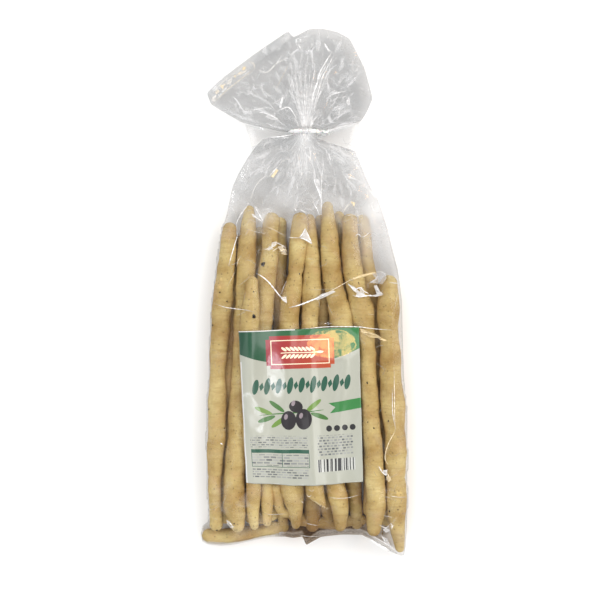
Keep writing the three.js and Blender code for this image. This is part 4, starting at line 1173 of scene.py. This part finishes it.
def foldPiece(name, corners, seed, material):
    a, b, c, d = np.array(corners, float)
    up = np.linspace(0, 1, folds["rows"])[:, None, None]
    across = np.linspace(0, 1, folds["columns"])[None, :, None]
    plan = (a * (1 - up) + b * up) * (1 - across) + (d * (1 - up) + c * up) * across
    plan = plan + 0.5 * waveField(plan, 16, seed)[..., None]
    edge = np.minimum(np.minimum(across, 1 - across), np.minimum(up, 1 - up))[..., 0]
    swell = smoothStep(edge, 0, 0.18)
    wave = 0.5 * foldField(plan, 14, seed + 1)
    middle, half = (folds["top"] + folds["bottom"]) / 2, (folds["top"] - folds["bottom"]) / 2
    sheets = [np.concatenate([plan, (middle + side * half * swell + wave * swell)[..., None]], -1)
              for side in (1, -1)]
    points, faces = envelope(*sheets)
    return meshPiece(f"film_fold_{name}", points, faces, material)


paleMaterial = newMaterial("polypropylene_film_pale", paleFilm)
sideFolds = [foldPiece(name, corners, 60 + 3 * seed, paleMaterial)
             for seed, (name, corners) in enumerate(folds["corners"].items())]
print("the folds beside the neck are in place")


tie = {
    "middle": (1, 129, 12),
    "radius": 12.3,
    "flatten": 0.68,
    "width": 3.0,
    "thickness": 1.1,
    "wire": 0.55,  # height of the wire's ridge along the band
    "steps": 120,
    "tail": [(-0.4, 0, 0), (2.5, 0.9, 1.2), (5, -0.6, 0.6), (7.5, 1.6, -0.5)],  # out, along, up
    "tailWidth": 2.5,
    "tailTurns": 1.2,
    "colour": "#F3F3F1",
}


def sleeve(add):  # wire tie with a white polyethylene sleeve: smooth, faintly waxy
    where = add("TexCoord").outputs["Object"]
    wrinkle = add("TexNoise", {"Scale": 1 / 0.0012, "Detail": 2.0, "Vector": where})
    bump = add("Bump", {"Strength": 0.25, "Distance": 0.0002, "Height": wrinkle})
    return add("BsdfPrincipled", {"Base Color": toLinear(tie["colour"]), "Roughness": 0.38, "IOR": 1.5,
                                  "Subsurface Weight": 0.15, "Subsurface Scale": 0.001, "Normal": bump})


def sweptRing(centres, outward, sideways, section, closed):  # a section carried along a way
    rings = centres[:, None] + section[:, 0][None, :, None] * outward[:, None] \
        + section[:, 1][None, :, None] * sideways[:, None]
    grid, faces = tubeFaces(len(centres), len(section), closed)
    if not closed:
        faces += [grid[0, :-1][::-1].tolist(), grid[-1, :-1].tolist()]
    return rings.reshape(-1, 3), faces


def tiePiece():
    half, thick, wire = tie["width"] / 2, tie["thickness"] / 2, tie["wire"]
    side = [(-thick * 0.3, half * 1.06), (thick * 0.5, half * 0.9), (thick * 0.6, half * 0.35),
            (thick + wire, half * 0.16)]
    section = np.array([(-thick, -half), (-thick, half)] + side + [(x, -y) for x, y in side[::-1]])
    turn = np.linspace(0, 2 * math.pi, tie["steps"], endpoint=False)
    outward = np.stack([np.cos(turn), 0 * turn, np.sin(turn)], 1)
    wobble = 1 + 0.012 * np.sin(5 * turn) + 0.008 * np.sin(11 * turn + 1)
    centres = outward * tie["radius"] * wobble[:, None] * (1, 1, tie["flatten"]) + tie["middle"]
    sideways = np.stack([0.04 * np.sin(3 * turn), np.ones_like(turn), 0.04 * np.cos(2 * turn)], 1)
    points, faces = sweptRing(centres, outward, sideways, section, True)
    for sign in (1, -1):
        way = np.array([(tie["middle"][0] + tie["radius"] + out, tie["middle"][1] + sign * beside,
                         tie["middle"][2] + sign * up) for out, beside, up in tie["tail"]])
        centres, walked = traceRoute(way)
        centres = np.stack([np.interp(np.linspace(0, walked[-1], 40), walked, centres[:, k])
                            for k in range(3)], 1)
        twist = np.linspace(0, 2 * math.pi * tie["tailTurns"], 40) + sign
        outward = np.stack([0 * twist, np.cos(twist), np.sin(twist)], 1)
        sideways = np.stack([0 * twist, -np.sin(twist), np.cos(twist)], 1)
        tail = section * (0.55, tie["tailWidth"] / tie["width"])
        more, moreFaces = sweptRing(centres, outward, sideways, tail, False)
        faces += [[corner + len(points) for corner in face] for face in moreFaces]
        points = np.vstack([points, more])
    piece = meshPiece("tie_band", points, faces, newMaterial("white_polyethylene", sleeve))
    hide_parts("neck_tie")
    return piece


tieBand = tiePiece()
print("the tie is closed")

creasedMaterial = newMaterial("creased_polypropylene", creasedFilm)
filmTree = rayTree([filmBody, filmFan, tieBand, *sideFolds])
creaseLines(filmTree, film["creases"] + fan["creases"] + strayWays(), creasedMaterial)
print("the film's creases are drawn")


label = {
    "corners": [(-52, -33), (44.5, -30), (47.9, -154.2), (-46, -155)],  # clockwise from the top left
    "sag": 2.6,  # how far the lower edge bows down
    "pitch": 1.0,
    "lift": 0.62,  # its middle over the sticks' heights
    "thickness": 0.24,
    "size": (96.5, 124),
    "bent": [  # where its varnish is bent to face a lamp: middle, half sizes, turn, slopes, unevenness
        ((74, 12.5), (27, 15.5), 0, (0.345, 0.259), 0.085),
        ((28, 35), (9, 25), -4, (-0.128, -0.352), 0.1),
        ((8.5, 66), (8.5, 23), -20, (-0.125, -0.345), 0.1),
    ],
}


def labelPiece(material):
    topLeft, topRight, bottomRight, bottomLeft = np.array(label["corners"], float)
    columns, rows = [round(size / label["pitch"]) + 1 for size in label["size"]]
    placeAcross, placeUp = np.linspace(0, 1, columns), np.linspace(0, 1, rows)
    across, up = placeAcross[None, :, None], placeUp[:, None, None]
    plan = (bottomLeft * (1 - across) + bottomRight * across) * (1 - up) \
        + (topLeft * (1 - across) + topRight * across) * up
    plan[..., 1] -= (label["sag"] * (1 - up) * np.sin(math.pi * across))[..., 0]
    plan += 0.12 * waveField(plan, 22, 77)[..., None]
    z = heightsAt(labelRelief, plan[..., 0], plan[..., 1]) + label["lift"]
    half = label["thickness"] / 2
    sheets = [np.concatenate([plan, (z + side * half)[..., None]], -1) for side in (1, -1)]
    sheets = [np.pad(sheet, ((1, 1), (1, 1), (0, 0)), mode="edge") for sheet in sheets]
    middle = (sheets[0] + sheets[1]) / 2
    for sheet in sheets:
        sheet[[0, -1]], sheet[:, [0, -1]] = middle[[0, -1]], middle[:, [0, -1]]
    points, faces = envelope(*sheets)
    piece = meshPiece("paper_label", points, faces, material)
    place = np.meshgrid(np.pad(placeAcross, 1, mode="edge"), np.pad(placeUp, 1, mode="edge"))
    place = np.stack(place, -1)
    place = np.vstack([place.reshape(-1, 2), place[1:-1, 1:-1].reshape(-1, 2)])
    corners = np.zeros(len(piece.data.loops), np.int32)
    piece.data.loops.foreach_get("vertex_index", corners)
    layer = piece.data.uv_layers.new(name="print")
    layer.data.foreach_set("uv", place[corners].astype(np.float32).ravel())
    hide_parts("label")
    return piece


printed = {  # places are in millimetres from the top left corner, downwards
    "colours": {
        "paper": "#ACAEA1",
        "cutEdge": "#D5D7D6",
        "band": "#07442D",
        "bandBright": "#2A7438",
        "badge": "#93142A",
        "badgeWarm": "#B4481E",
        "cream": "#F6EBCB",
        "darkGreen": "#124F3A",
        "olive": "#191218",
        "shine": "#8F8288",
        "leaf": "#688A38",
        "leafDark": "#3C6C2C",
        "ribbon": "#2D7A38",
        "ink": "#55585C",
        "inkPale": "#A7A9A5",
        "black": "#1B1B1E",
        "gapPale": "#C4C6C0",
    },
    "badgeAt": (48.5, 18.2),
    "sticksAt": (9.3, 45.4, -0.25),  # spacing of the row of sticks, its height, and how it climbs
    "leaves": [  # x, y, turn, colour
        (17, 64.5, 24, "leaf"), (19, 71.5, -18, "leafDark"), (28, 61.2, 38, "leafDark"),
        (58, 60.8, -36, "leaf"), (62.5, 69.5, 22, "leafDark"), (29, 74, -34, "leaf")],
    "olives": [(37, 72.5, 6.2, 7.6), (49.5, 71.5, 6.6, 8.2), (43.5, 61.5, 5.6, 4.8)],  # x, y, half sizes
    "dashes": [  # middle, half size, length of a dash and height of a row
        ((28.6, 89.5), (23.5, 4.7), 3.7, 1.9), ((28.8, 104.5), (23.3, 4.6), 5.6, 2.3),
        ((28.8, 115.5), (23, 3.9), 4.4, 1.95), ((74.6, 93), (14.5, 8), 3.1, 2.2)],
}


def coatedPaper(add):  # clay-coated paper with a varnish: smooth, bright, with sharp reflections
    width, height = label["size"]
    place = add("Mapping", {"Location": (0, height, 0), "Scale": (width, -height, 1),
                            "Vector": add("UVMap", {"uv_map": "print"})})
    across, down = add("SeparateXYZ", {0: place}).outputs[:2]
    tones = {name: toLinear(colour) for name, colour in printed["colours"].items()}
    art = add("RGB")
    art.outputs[0].default_value = tones["paper"]

    def reachIn(kind, centre, half, turn):  # below 1 inside a shape
        local = add("Mapping", {"vector_type": "TEXTURE", "Location": (*centre, 0), "Scale": (*half, 1),
                                "Rotation": (0, 0, math.radians(turn)), "Vector": place})
        if kind == "oval":
            return add("VectorMath", {"operation": "LENGTH", 0: local})
        size = add("VectorMath", {"operation": "ABSOLUTE", 0: local})
        right, low = add("SeparateXYZ", {0: size}).outputs[:2]
        return add("Math", {"operation": {"box": "MAXIMUM", "lozenge": "ADD"}[kind], 0: right, 1: low})

    def stamp(kind, centre, half, colour, turn=0):  # prints one field of colour over the rest
        nonlocal art
        inside = add("Math", {"operation": "LESS_THAN", 0: reachIn(kind, centre, half, turn), 1: 1.0})
        art = add("Mix", {"data_type": "RGBA", 0: inside, 6: art, 7: tones.get(colour, colour)})

    def fade(first, last, fromX, toX):  # a colour that changes across the label
        share = add("MapRange", {"From Min": fromX, "From Max": toX, "Value": across})
        ramp = add("ValToRGB", {"Fac": share})
        for end, name in zip(ramp.color_ramp.elements, (first, last)):
            end.color = tones[name]
        return ramp

    # green head with a bowed lower edge
    offset = add("Math", {"operation": "SUBTRACT", 0: across, 1: 46.0})
    bow = add("Math", {"operation": "POWER", 0: offset, 1: 2.0})
    edge = add("Math", {"operation": "MULTIPLY_ADD", 0: bow, 1: -0.0045, 2: 28.3})
    head = add("Math", {"operation": "LESS_THAN", 0: down, 1: edge})
    green = fade("band", "bandBright", 0.0, width)
    art = add("Mix", {"data_type": "RGBA", 0: head, 6: art, 7: green})
    stamp("box", (0.4, 75), (0.7, 50), "cutEdge")
    stamp("box", (22, 0.3), (23, 0.5), "cutEdge")
    # badge: a stepped plaque with an ear of wheat
    warm = fade("badge", "badgeWarm", 22.0, 76.0)
    for half, colour in (((27.5, 10.5), warm), ((24.5, 13.2), warm), ((23.6, 9.8), "cream"),
                         ((22.9, 9.1), warm)):
        stamp("box", printed["badgeAt"], half, colour)
    stamp("box", (48.5, 18.6), (15.5, 0.35), "cream")
    for k in range(8):
        for side in (1, -1):
            stamp("oval", (35.5 + 3.3 * k, 18.6 + side * 2.9), (2.5, 0.95), "cream", -side * 38)
    stamp("oval", (64.6, 18.6), (2.9, 1.0), "cream")
    # a row of slanted breadsticks
    spacing, level, climb = printed["sticksAt"]
    for k in range(9):
        stamp("oval", (11.5 + spacing * k, level + climb * k), (2.35, 6.9 if k % 2 else 6.2), "darkGreen", 14)
    for k in range(8):
        stamp("lozenge", (16.2 + spacing * k, level + climb * k), (1.9, 3.6), "darkGreen", 14)
    # a twig with leaves and olives
    stamp("oval", (40, 66.5), (27, 0.55), "leafDark", -4)
    for x, y, turn, colour in printed["leaves"]:
        stamp("oval", (x, y), (7.4, 1.9), colour, turn)
    for x, y, wide, tall in printed["olives"]:
        stamp("oval", (x, y), (wide, tall), "olive", 8)
        stamp("oval", (x - 2.1, y - 2.8), (1.5, 2.3), "shine", 20)
    # a plain pennant and a row of dots
    stamp("box", (84, 62), (13.5, 4.1), "ribbon", -7)
    stamp("lozenge", (70.4, 63.6), (5.2, 4.2), "paper", -7)
    for k in range(4):
        stamp("oval", (70 + 6.4 * k, 79.6), (2.4, 2.4), "black")
    # lines of small print, as rows of plain dashes
    for centre, half, dash, row in printed["dashes"]:
        dashes = add("TexBrick", {"offset": 0.37, "Color1": tones["ink"], "Color2": tones["inkPale"],
                                  "Mortar": tones["paper"], "Scale": 1.0, "Mortar Size": 0.46,
                                  "Mortar Smooth": 0.1, "Brick Width": dash, "Row Height": row,
                                  "Vector": place})
        stamp("box", centre, half, dashes)
    stamp("box", (29.2, 97.2), (23.8, 1.5), "darkGreen")
    for x in (5.6, 30.7, 52.8):
        stamp("box", (x, 104.4), (0.22, 5.6), "darkGreen")
    stamp("box", (29.2, 109.9), (23.8, 0.22), "darkGreen")
    # plain stripes of uneven width
    step = add("Math", {"operation": "MULTIPLY", 0: across, 1: 1 / 0.42})
    draw = add("TexWhiteNoise", {"noise_dimensions": "1D", "W": add("Math", {"operation": "FLOOR", 0: step})})
    stripe = add("Math", {"operation": "GREATER_THAN", 0: draw, 1: 0.5})
    stripes = add("Mix", {"data_type": "RGBA", 0: stripe, 6: tones["black"], 7: tones["gapPale"]})
    stamp("box", (75.2, 108.8), (15.6, 5), stripes)
    # fine fibres, and varnish that is bent to face a lamp here and there
    where = add("TexCoord").outputs["Object"]
    fibre = add("TexNoise", {"Scale": 1 / 0.004, "Detail": 3.0, "Vector": where})
    bump = add("Bump", {"Strength": 0.12, "Distance": 0.0004, "Height": fibre})
    facets = add("TexVoronoi", {"Scale": 1 / 0.006, "Vector": where}).outputs["Color"]
    lean = add("VectorMath", {"operation": "SUBTRACT", 0: facets, 1: (0.5, 0.5, 0.5)})
    facing = add("NewGeometry").outputs["Normal"]
    for centre, half, turn, slopes, crumple in label["bent"]:
        share = add("MapRange", {"From Min": 1.0, "From Max": 0.7,
                                 "Value": reachIn("oval", centre, half, turn)})
        slope = add("VectorMath", {"operation": "MULTIPLY_ADD", 0: lean, 1: (crumple,) * 3, 2: (*slopes, 1)})
        facing = add("Mix", {"data_type": "VECTOR", 0: share, 4: facing, 5: slope})
    unit = add("VectorMath", {"operation": "NORMALIZE", 0: facing})
    coat = add("Bump", {"Strength": 0.12, "Distance": 0.0004, "Height": fibre, "Normal": unit})
    varnish = add("MapRange", {"From Min": 40.0, "From Max": 50.0, "To Min": 0.17, "To Max": 0.1,
                               "Value": across})
    return add("BsdfPrincipled", {"Roughness": 0.42, "IOR": 1.5, "Coat Weight": 1.0, "Coat IOR": 1.5,
                                  "Base Color": art, "Normal": bump, "Coat Normal": coat,
                                  "Coat Roughness": varnish})


labelPiece(newMaterial("coated_paper", coatedPaper))
print("the label is printed")


glints = {
    "thickness": 0.12,
    "lift": 0.06,
    "share": 0.8,
    "faint": 0.12,  # whiteness of their middles against their edges
    "spots": [  # painted highlights: whiteness, warmth and corners (x, y) of flat spots of film that face a lamp
        (0.6, 0, -3.2, 42.8, 1.6, 49.6, 6.7, 36.8, 3, 38.8),
        (0.6, 0.1, -25.4, 38.2, -21.4, 38.8, -22.5, 35.4, -26.5, 33.7),
        (0.7, 0.5, -20.8, 34.8, -16.9, 35.4, -14, 29.7, -17.4, 30),
        (0.5, 0, -29.6, 33, -27, 35.4, -24, 33.2, -28, 31.6),
        (0.7, 0, 35.4, 4.9, 40.5, 2.7, 44.5, -1, 51.3, -5.5, 41.7, -5.5, 42.8, -2.7, 39.4, 0.2),
        (0.6, 0, 44.5, 1.9, 47.3, 0.2, 49.6, -4.4, 46.2, -3.5),
        (0.3, 0, 54.7, 13.2, 65.5, 14, 66.6, 9.2, 63.2, 4.7, 53, 5.8, 58.1, 9.2),
        (0.5, 0, 56.4, 3.5, 58.7, 4.1, 63.2, -4.4, 51.3, -5.5, 58.7, -3.5),
        (0.6, 0, 8.7, -7.2, 14.4, -3.5, 24, -0.4, 25.7, -1.5, 17.8, -5.5, 11, -8.3),
        (0.9, 0.9, 39.4, 9.8, 48.5, 12.7, 57.6, 14.4, 58.1, 13.5, 49.6, 11, 40.5, 8.1),
        (0.3, 0, -39.6, 67.8, -36.7, 66, -32.2, 55.8, -34.5, 54.7, -37.9, 59.2),
        (0.8, 0, -41.9, 61.5, -39, 60.4, -37.9, 57.5, -40.7, 58.7),
        (0.7, 0, -18.6, -5.5, -14, -5.5, -13.4, -10.6, -16.9, -8.4),
        (0.75, 0, 12, 125.4, 20.5, 129.4, 30, 132.6, 44.6, 136.6, 44, 137.8, 29.6, 134, 19.8, 130.6, 12,
         127), (0.55, 0.9, 45.6, -31, 58.7, -35.6, 63.2, -39, 53, -38, 46.2, -34),
        (0.9, 1, 61, -38, 66.6, -40.2, 64.4, -41.4),
        (1, 0.75, -25.9, 91.7, -21.8, 97.9, -20.3, 96.9, -24.4, 90.7),
        (0.5, 0, 9.1, 89.6, 12.8, 89.1, 14.3, 77.2, 11.7, 80.3),
        (0.5, 0, 28.3, 148.5, 30.3, 148.5, 28.8, 140.3, 27.2, 138.2),
        (0.9, 0, -19.8, 148.5, -17.7, 156.8, -16.2, 156.8, -18.2, 148.5),
        (0.25, 0, -24.9, 151.6, -17.7, 157.3, -12.5, 159.9, -18.7, 152.7),
        (0.6, 0, 16.9, 202.3, 19.5, 199.2, 21.6, 194, 19.5, 196.1),
        (0.5, 0, 35, 154.7, 37.6, 156.8, 38.1, 151.6, 36, 151.1),
        (0.45, 0, -31.7, 141.3, -26, 143.4, -19.8, 138.2, -26, 138.7),
        (1, 0.9, -49.7, 182.6, -47.2, 183.1, -47.7, 180.6, -49.2, 180),
        (0.6, 0.3, -53.9, 177.4, -45.6, 180.5, -49.7, 176.9, -53.9, 175.9),
        (0.9, 0.7, -68.3, 167.4, -65.2, 168.4, -65.8, 164.3),
        (0.6, 0.2, -75, 157.8, -71.4, 159.9, -71.9, 155.7, -75, 154.7),
        (0.5, 0.2, -61.8, 171.8, -58.6, 172.9, -59.2, 169.3, -62.8, 168.2),
        (0.7, 0.5, -72.6, 162, -70, 164.4, -68.8, 162.6, -71.2, 160.4),
        (0.6, 0.8, -57.4, 175.4, -55.2, 176.6, -55.4, 173.6),
        (0.5, 0.1, -66.8, 163.2, -62.8, 166.6, -62.2, 165.4, -66, 162),
        (0.9, 0.8, 38.1, 71.6, 41.7, 70.5, 40.7, 66.9),
        (0.4, 0, 46.4, 84.4, 50.5, 86.5, 49.5, 83.9, 46.4, 83.4),
        (0.9, 0, 63.4, -144.8, 67.2, -144.2, 66.6, -149, 64.2, -148),
        (0.8, 0.8, 66, -150, 68.4, -148.6, 70.6, -152.4, 68, -154),
        (0.5, 0.1, -62, -185, -59, -186.4, -56.2, -190.6, -58.4, -191.6, -61.4, -188.8),
        (0.8, 0, 54, -199, 62, -204, 75, -212.6, 73, -212.8, 60, -205),
        (0.4, 0, 62, -197, 66, -205, 71, -207.5, 67, -200),
        (0.7, 0, 63.5, -192.5, 66, -191, 69.5, -193.5, 66.5, -195),
    ],
}


def turning(corners):  # positive where the way from one corner to the next turns left round the origin
    return np.array([a[0] * b[1] - b[0] * a[1] for a, b in zip(corners, corners[1:] + corners[:1])])


def glintPiece(tree, material):  # thin flat chips of film, turned to catch the light, their glint painted in white and cream
    points, faces, whites, warms = [], [], [], []
    for white, warm, *corners in glints["spots"]:
        corners = np.reshape(corners, (-1, 2)).tolist()
        if turning(corners).sum() < 0:
            corners = corners[::-1]
        heights = [dropOn(tree, x, y)[0] for x, y in corners]
        if any(place is None for place in heights):
            continue
        first, count = len(points), len(corners)
        top = first + count
        after = [(k + 1) % count for k in range(count)]
        for layer in (glints["lift"], glints["lift"] + glints["thickness"]):
            points += [(x, y, place[2] + layer) for (x, y), place in zip(corners, heights)]
        faces.append([first + k for k in range(count)][::-1])
        faces += [[first + k, first + after[k], top + after[k], top + k] for k in range(count)]
        white = white * glints["share"]
        whites += [white] * 2 * count
        middle = np.mean(corners, axis=0)
        if turning([np.array(corner) - middle for corner in corners]).min() > 0:
            level = np.mean([place[2] for place in heights]) + glints["lift"] + glints["thickness"]
            points.append((*middle, level))
            faces += [[top + k, top + after[k], top + count] for k in range(count)]
            whites.append(white * glints["faint"])
        else:
            faces.append([top + k for k in range(count)])
        warms += [warm] * (len(points) - first)
    piece = meshPiece("film_glints", points, faces, material, smooth=False)
    setAttributes(piece.data, {"white": whites, "warm": warms})


seal = {
    "from": (-78, 161.6),
    "to": (-14.2, 210.2),
    "inset": 3.3,  # from the edge to the middle of the ribs
    "pitch": 1.5,
    "ribWidth": 0.24,
    "ribLength": 2.7,  # half of it
    "ribHeight": 0.25,
    "level": 9.45,
    "white": (0.3, 0.9),  # painted highlight on the ribs, along most of the seam and at its upper end
    "upperFrom": 0.78,
}


def ribTree(add, given):  # ribs at even steps along the seam
    curve = add("MeshToCurve", {0: given[0]})
    spots = add("CurveToPoints", {"mode": "LENGTH", "Curve": curve, "Length": given["Pitch"]})
    rib = add("MeshIcoSphere", {"Radius": 1.0, "Subdivisions": 2})
    size = add("ShaderNodeCombineXYZ", {0: given["Length"], 1: given["Height"], 2: given["Width"]})
    return add("InstanceOnPoints", {"Points": spots, "Instance": rib, "Rotation": spots.outputs["Rotation"],
                                    "Scale": size})


def sealRibs(material):  # heat-crimped ribs across the seam, with painted highlights
    start, end = np.array(seal["from"]), np.array(seal["to"])
    way = (end - start) / np.linalg.norm(end - start)
    inward = np.array([way[1], -way[0]]) * seal["inset"]
    shares = (0, seal["upperFrom"], seal["upperFrom"], 1)
    points = [(*(start + (end - start) * share + inward), seal["level"]) for share in shares]
    inputs = {"Pitch": seal["pitch"] * mm, "Width": seal["ribWidth"] * mm, "Length": seal["ribLength"] * mm,
              "Height": seal["ribHeight"] * mm}
    return grow("seal_ribs", material, inputs, ribTree, points, [(0, 1), (2, 3)], [],
                {"white": np.repeat(seal["white"], 2)})


olives = {
    "bits": [  # x, y and size of the pieces of olive baked into the crust
        (-31.6, 20.6, 2.5), (-40.4, -20.9, 2.6), (-3.6, 13, 0.9), (-40.1, -1.6, 0.8), (-67.1, -2, 0.8),
        (-62, -8.9, 0.8), (-73.3, -28.8, 0.9), (18.2, 24.3, 0.8), (17.4, 5.7, 0.8), (44.1, 5.7, 0.8),
        (51.4, -75, 1.0), (47.8, -106.1, 0.9), (51.8, -106.1, 0.8), (56.1, -111, 0.9), (47.4, -123.9, 0.8),
        (68.4, -105.3, 1.0), (69.7, -178.2, 1.0), (76.1, -176.6, 0.8), (-70.1, -194.4, 0.9),
        (-55.9, -187.9, 0.8), (-76.5, -96.4, 0.8), (-64.4, -111.8, 0.9)],
    "flat": 0.26,  # height against width
    "sunk": 0.35,  # share of their height that the crust holds
    "flesh": "#2B2118",
    "skin": "#151013",
}


def oliveFlesh(add):  # cured black olive: dark and slightly moist
    where = add("TexCoord").outputs["Object"]
    patches = add("TexNoise", {"Scale": 1 / 0.0012, "Detail": 2.0, "Vector": where})
    tone = add("Mix", {"data_type": "RGBA", 6: toLinear(olives["skin"]), 7: toLinear(olives["flesh"]),
                       0: patches})
    bump = add("Bump", {"Strength": 0.4, "Distance": 0.0003, "Height": patches})
    return add("BsdfPrincipled", {"Roughness": 0.36, "IOR": 1.42, "Base Color": tone, "Normal": bump})


def oliveBits(tree, material):
    ball = bmesh.new()
    bmesh.ops.create_icosphere(ball, subdivisions=2, radius=1)
    shape = np.array([vertex.co[:] for vertex in ball.verts])
    shapeFaces = np.array([[vertex.index for vertex in face.verts] for face in ball.faces])
    ball.free()
    points, faces = [], []
    for seed, (x, y, size) in enumerate(olives["bits"]):
        place, facing = dropOn(tree, x, y)
        if place is None:
            continue
        turn = seed * 2.4
        lumpy = shape * (1 + 0.28 * waveField(shape, 2.2, 300 + seed))[:, None]
        lumpy = lumpy * (size, size * 0.72, size * olives["flat"])
        lumpy = np.stack([lumpy[:, 0] * math.cos(turn) - lumpy[:, 1] * math.sin(turn),
                          lumpy[:, 0] * math.sin(turn) + lumpy[:, 1] * math.cos(turn), lumpy[:, 2]], 1)
        lumpy[:, 2] -= (lumpy[:, 0] * facing[0] + lumpy[:, 1] * facing[1]) / max(facing[2], 0.4)
        faces.append(shapeFaces + len(points) * len(shape))
        points.append(place + lumpy - (0, 0, olives["sunk"] * olives["flat"] * size))
    return meshPiece("olive_bits", np.vstack(points), np.vstack(faces), material)


flecks = {
    "density": 0.016,  # on each square millimetre of crust
    "size": 0.42,
    "shape": ((0.4, 0.4, 0.35), (1.6, 1.0, 0.7)),  # least and most of the size, along each axis
    "seeds": (7, 4),
    "upward": 0.05,  # they lie on faces that look up at least so much
}


def scatter(name, look, material, points, faces):  # uneven chips over the faces of a bed
    def build(add, given):
        spots = add("DistributePointsOnFaces", {"Seed": look["seeds"][0], "Mesh": given[0],
                                                "Density": given["Density"]})
        chip = add("MeshIcoSphere", {"Radius": 1.0, "Subdivisions": 1})
        least, most = look["shape"]
        draw = add("FunctionNodeRandomValue", {"data_type": "FLOAT_VECTOR", "Seed": look["seeds"][1],
                                               0: least, 1: most})
        size = add("ShaderNodeVectorMath", {"operation": "SCALE", 0: draw, 3: given["Size"]})
        turn = spots.outputs["Rotation"]
        if "turn" in look:
            turn = add("FunctionNodeRandomValue", {"data_type": "FLOAT_VECTOR", "Seed": look["seeds"][2],
                                                   1: look["turn"]})
        return add("InstanceOnPoints", {"Points": spots, "Instance": chip, "Rotation": turn, "Scale": size})

    inputs = {"Density": look["density"] / mm ** 2, "Size": look["size"] * mm}
    return grow(name, material, inputs, build, points, [], faces)


def oliveFlecks(pieces, material):  # specks of olive skin in the crust
    points, faces, count = [], [], 0
    for piece in pieces:
        points += [[value / mm for value in vertex.co] for vertex in piece.data.vertices]
        faces += [[corner + count for corner in polygon.vertices]
                  for polygon in piece.data.polygons if polygon.normal.z > flecks["upward"]]
        count = len(points)
    return scatter("olive_flecks", flecks, material, points, faces)


crumbs = {
    "beds": [  # left, right, low and high border of where they lie, and their height
        (-20, 52, -197.5, -172, 1.0),
        (56, 70, -203, -194, 1.0),
    ],
    "density": 0.3,  # on each square millimetre
    "size": 0.5,
    "shape": ((0.5, 0.5, 0.4), (1.9, 1.4, 1.1)),
    "turn": (0.6, 0.6, 6.28),
    "seeds": (11, 2, 3),
    "colour": "#A9895A",
}


def toastedCrumb(add):  # dry crumb of crust: matt and uneven
    where = add("TexCoord").outputs["Object"]
    patches = add("TexNoise", {"Scale": 1 / 0.003, "Detail": 2.0, "Vector": where})
    tone = add("Mix", {"data_type": "RGBA", 6: toLinear(crust["speck"]), 7: toLinear(crumbs["colour"]),
                       0: patches})
    return add("BsdfPrincipled", {"Roughness": 0.8, "IOR": 1.45, "Base Color": tone})


def looseCrumbs():  # bits of crust that have gathered at the bottom of the bag
    points, faces = [], []
    for left, right, low, high, level in crumbs["beds"]:
        faces.append([len(points) + k for k in range(4)])
        points += [(left, low, level), (right, low, level), (right, high, level), (left, high, level)]
    return scatter("loose_crumbs", crumbs, newMaterial("toasted_crumb", toastedCrumb), points, faces)


looseCrumbs()
stickTree = rayTree(stickPieces)
oliveMaterial = newMaterial("black_olive", oliveFlesh)
oliveBits(stickTree, oliveMaterial)
oliveFlecks(stickPieces, oliveMaterial)
sealRibs(creasedMaterial)
glintPiece(filmTree, creasedMaterial)
print("olive bits, flecks and the seam's ribs are in place")
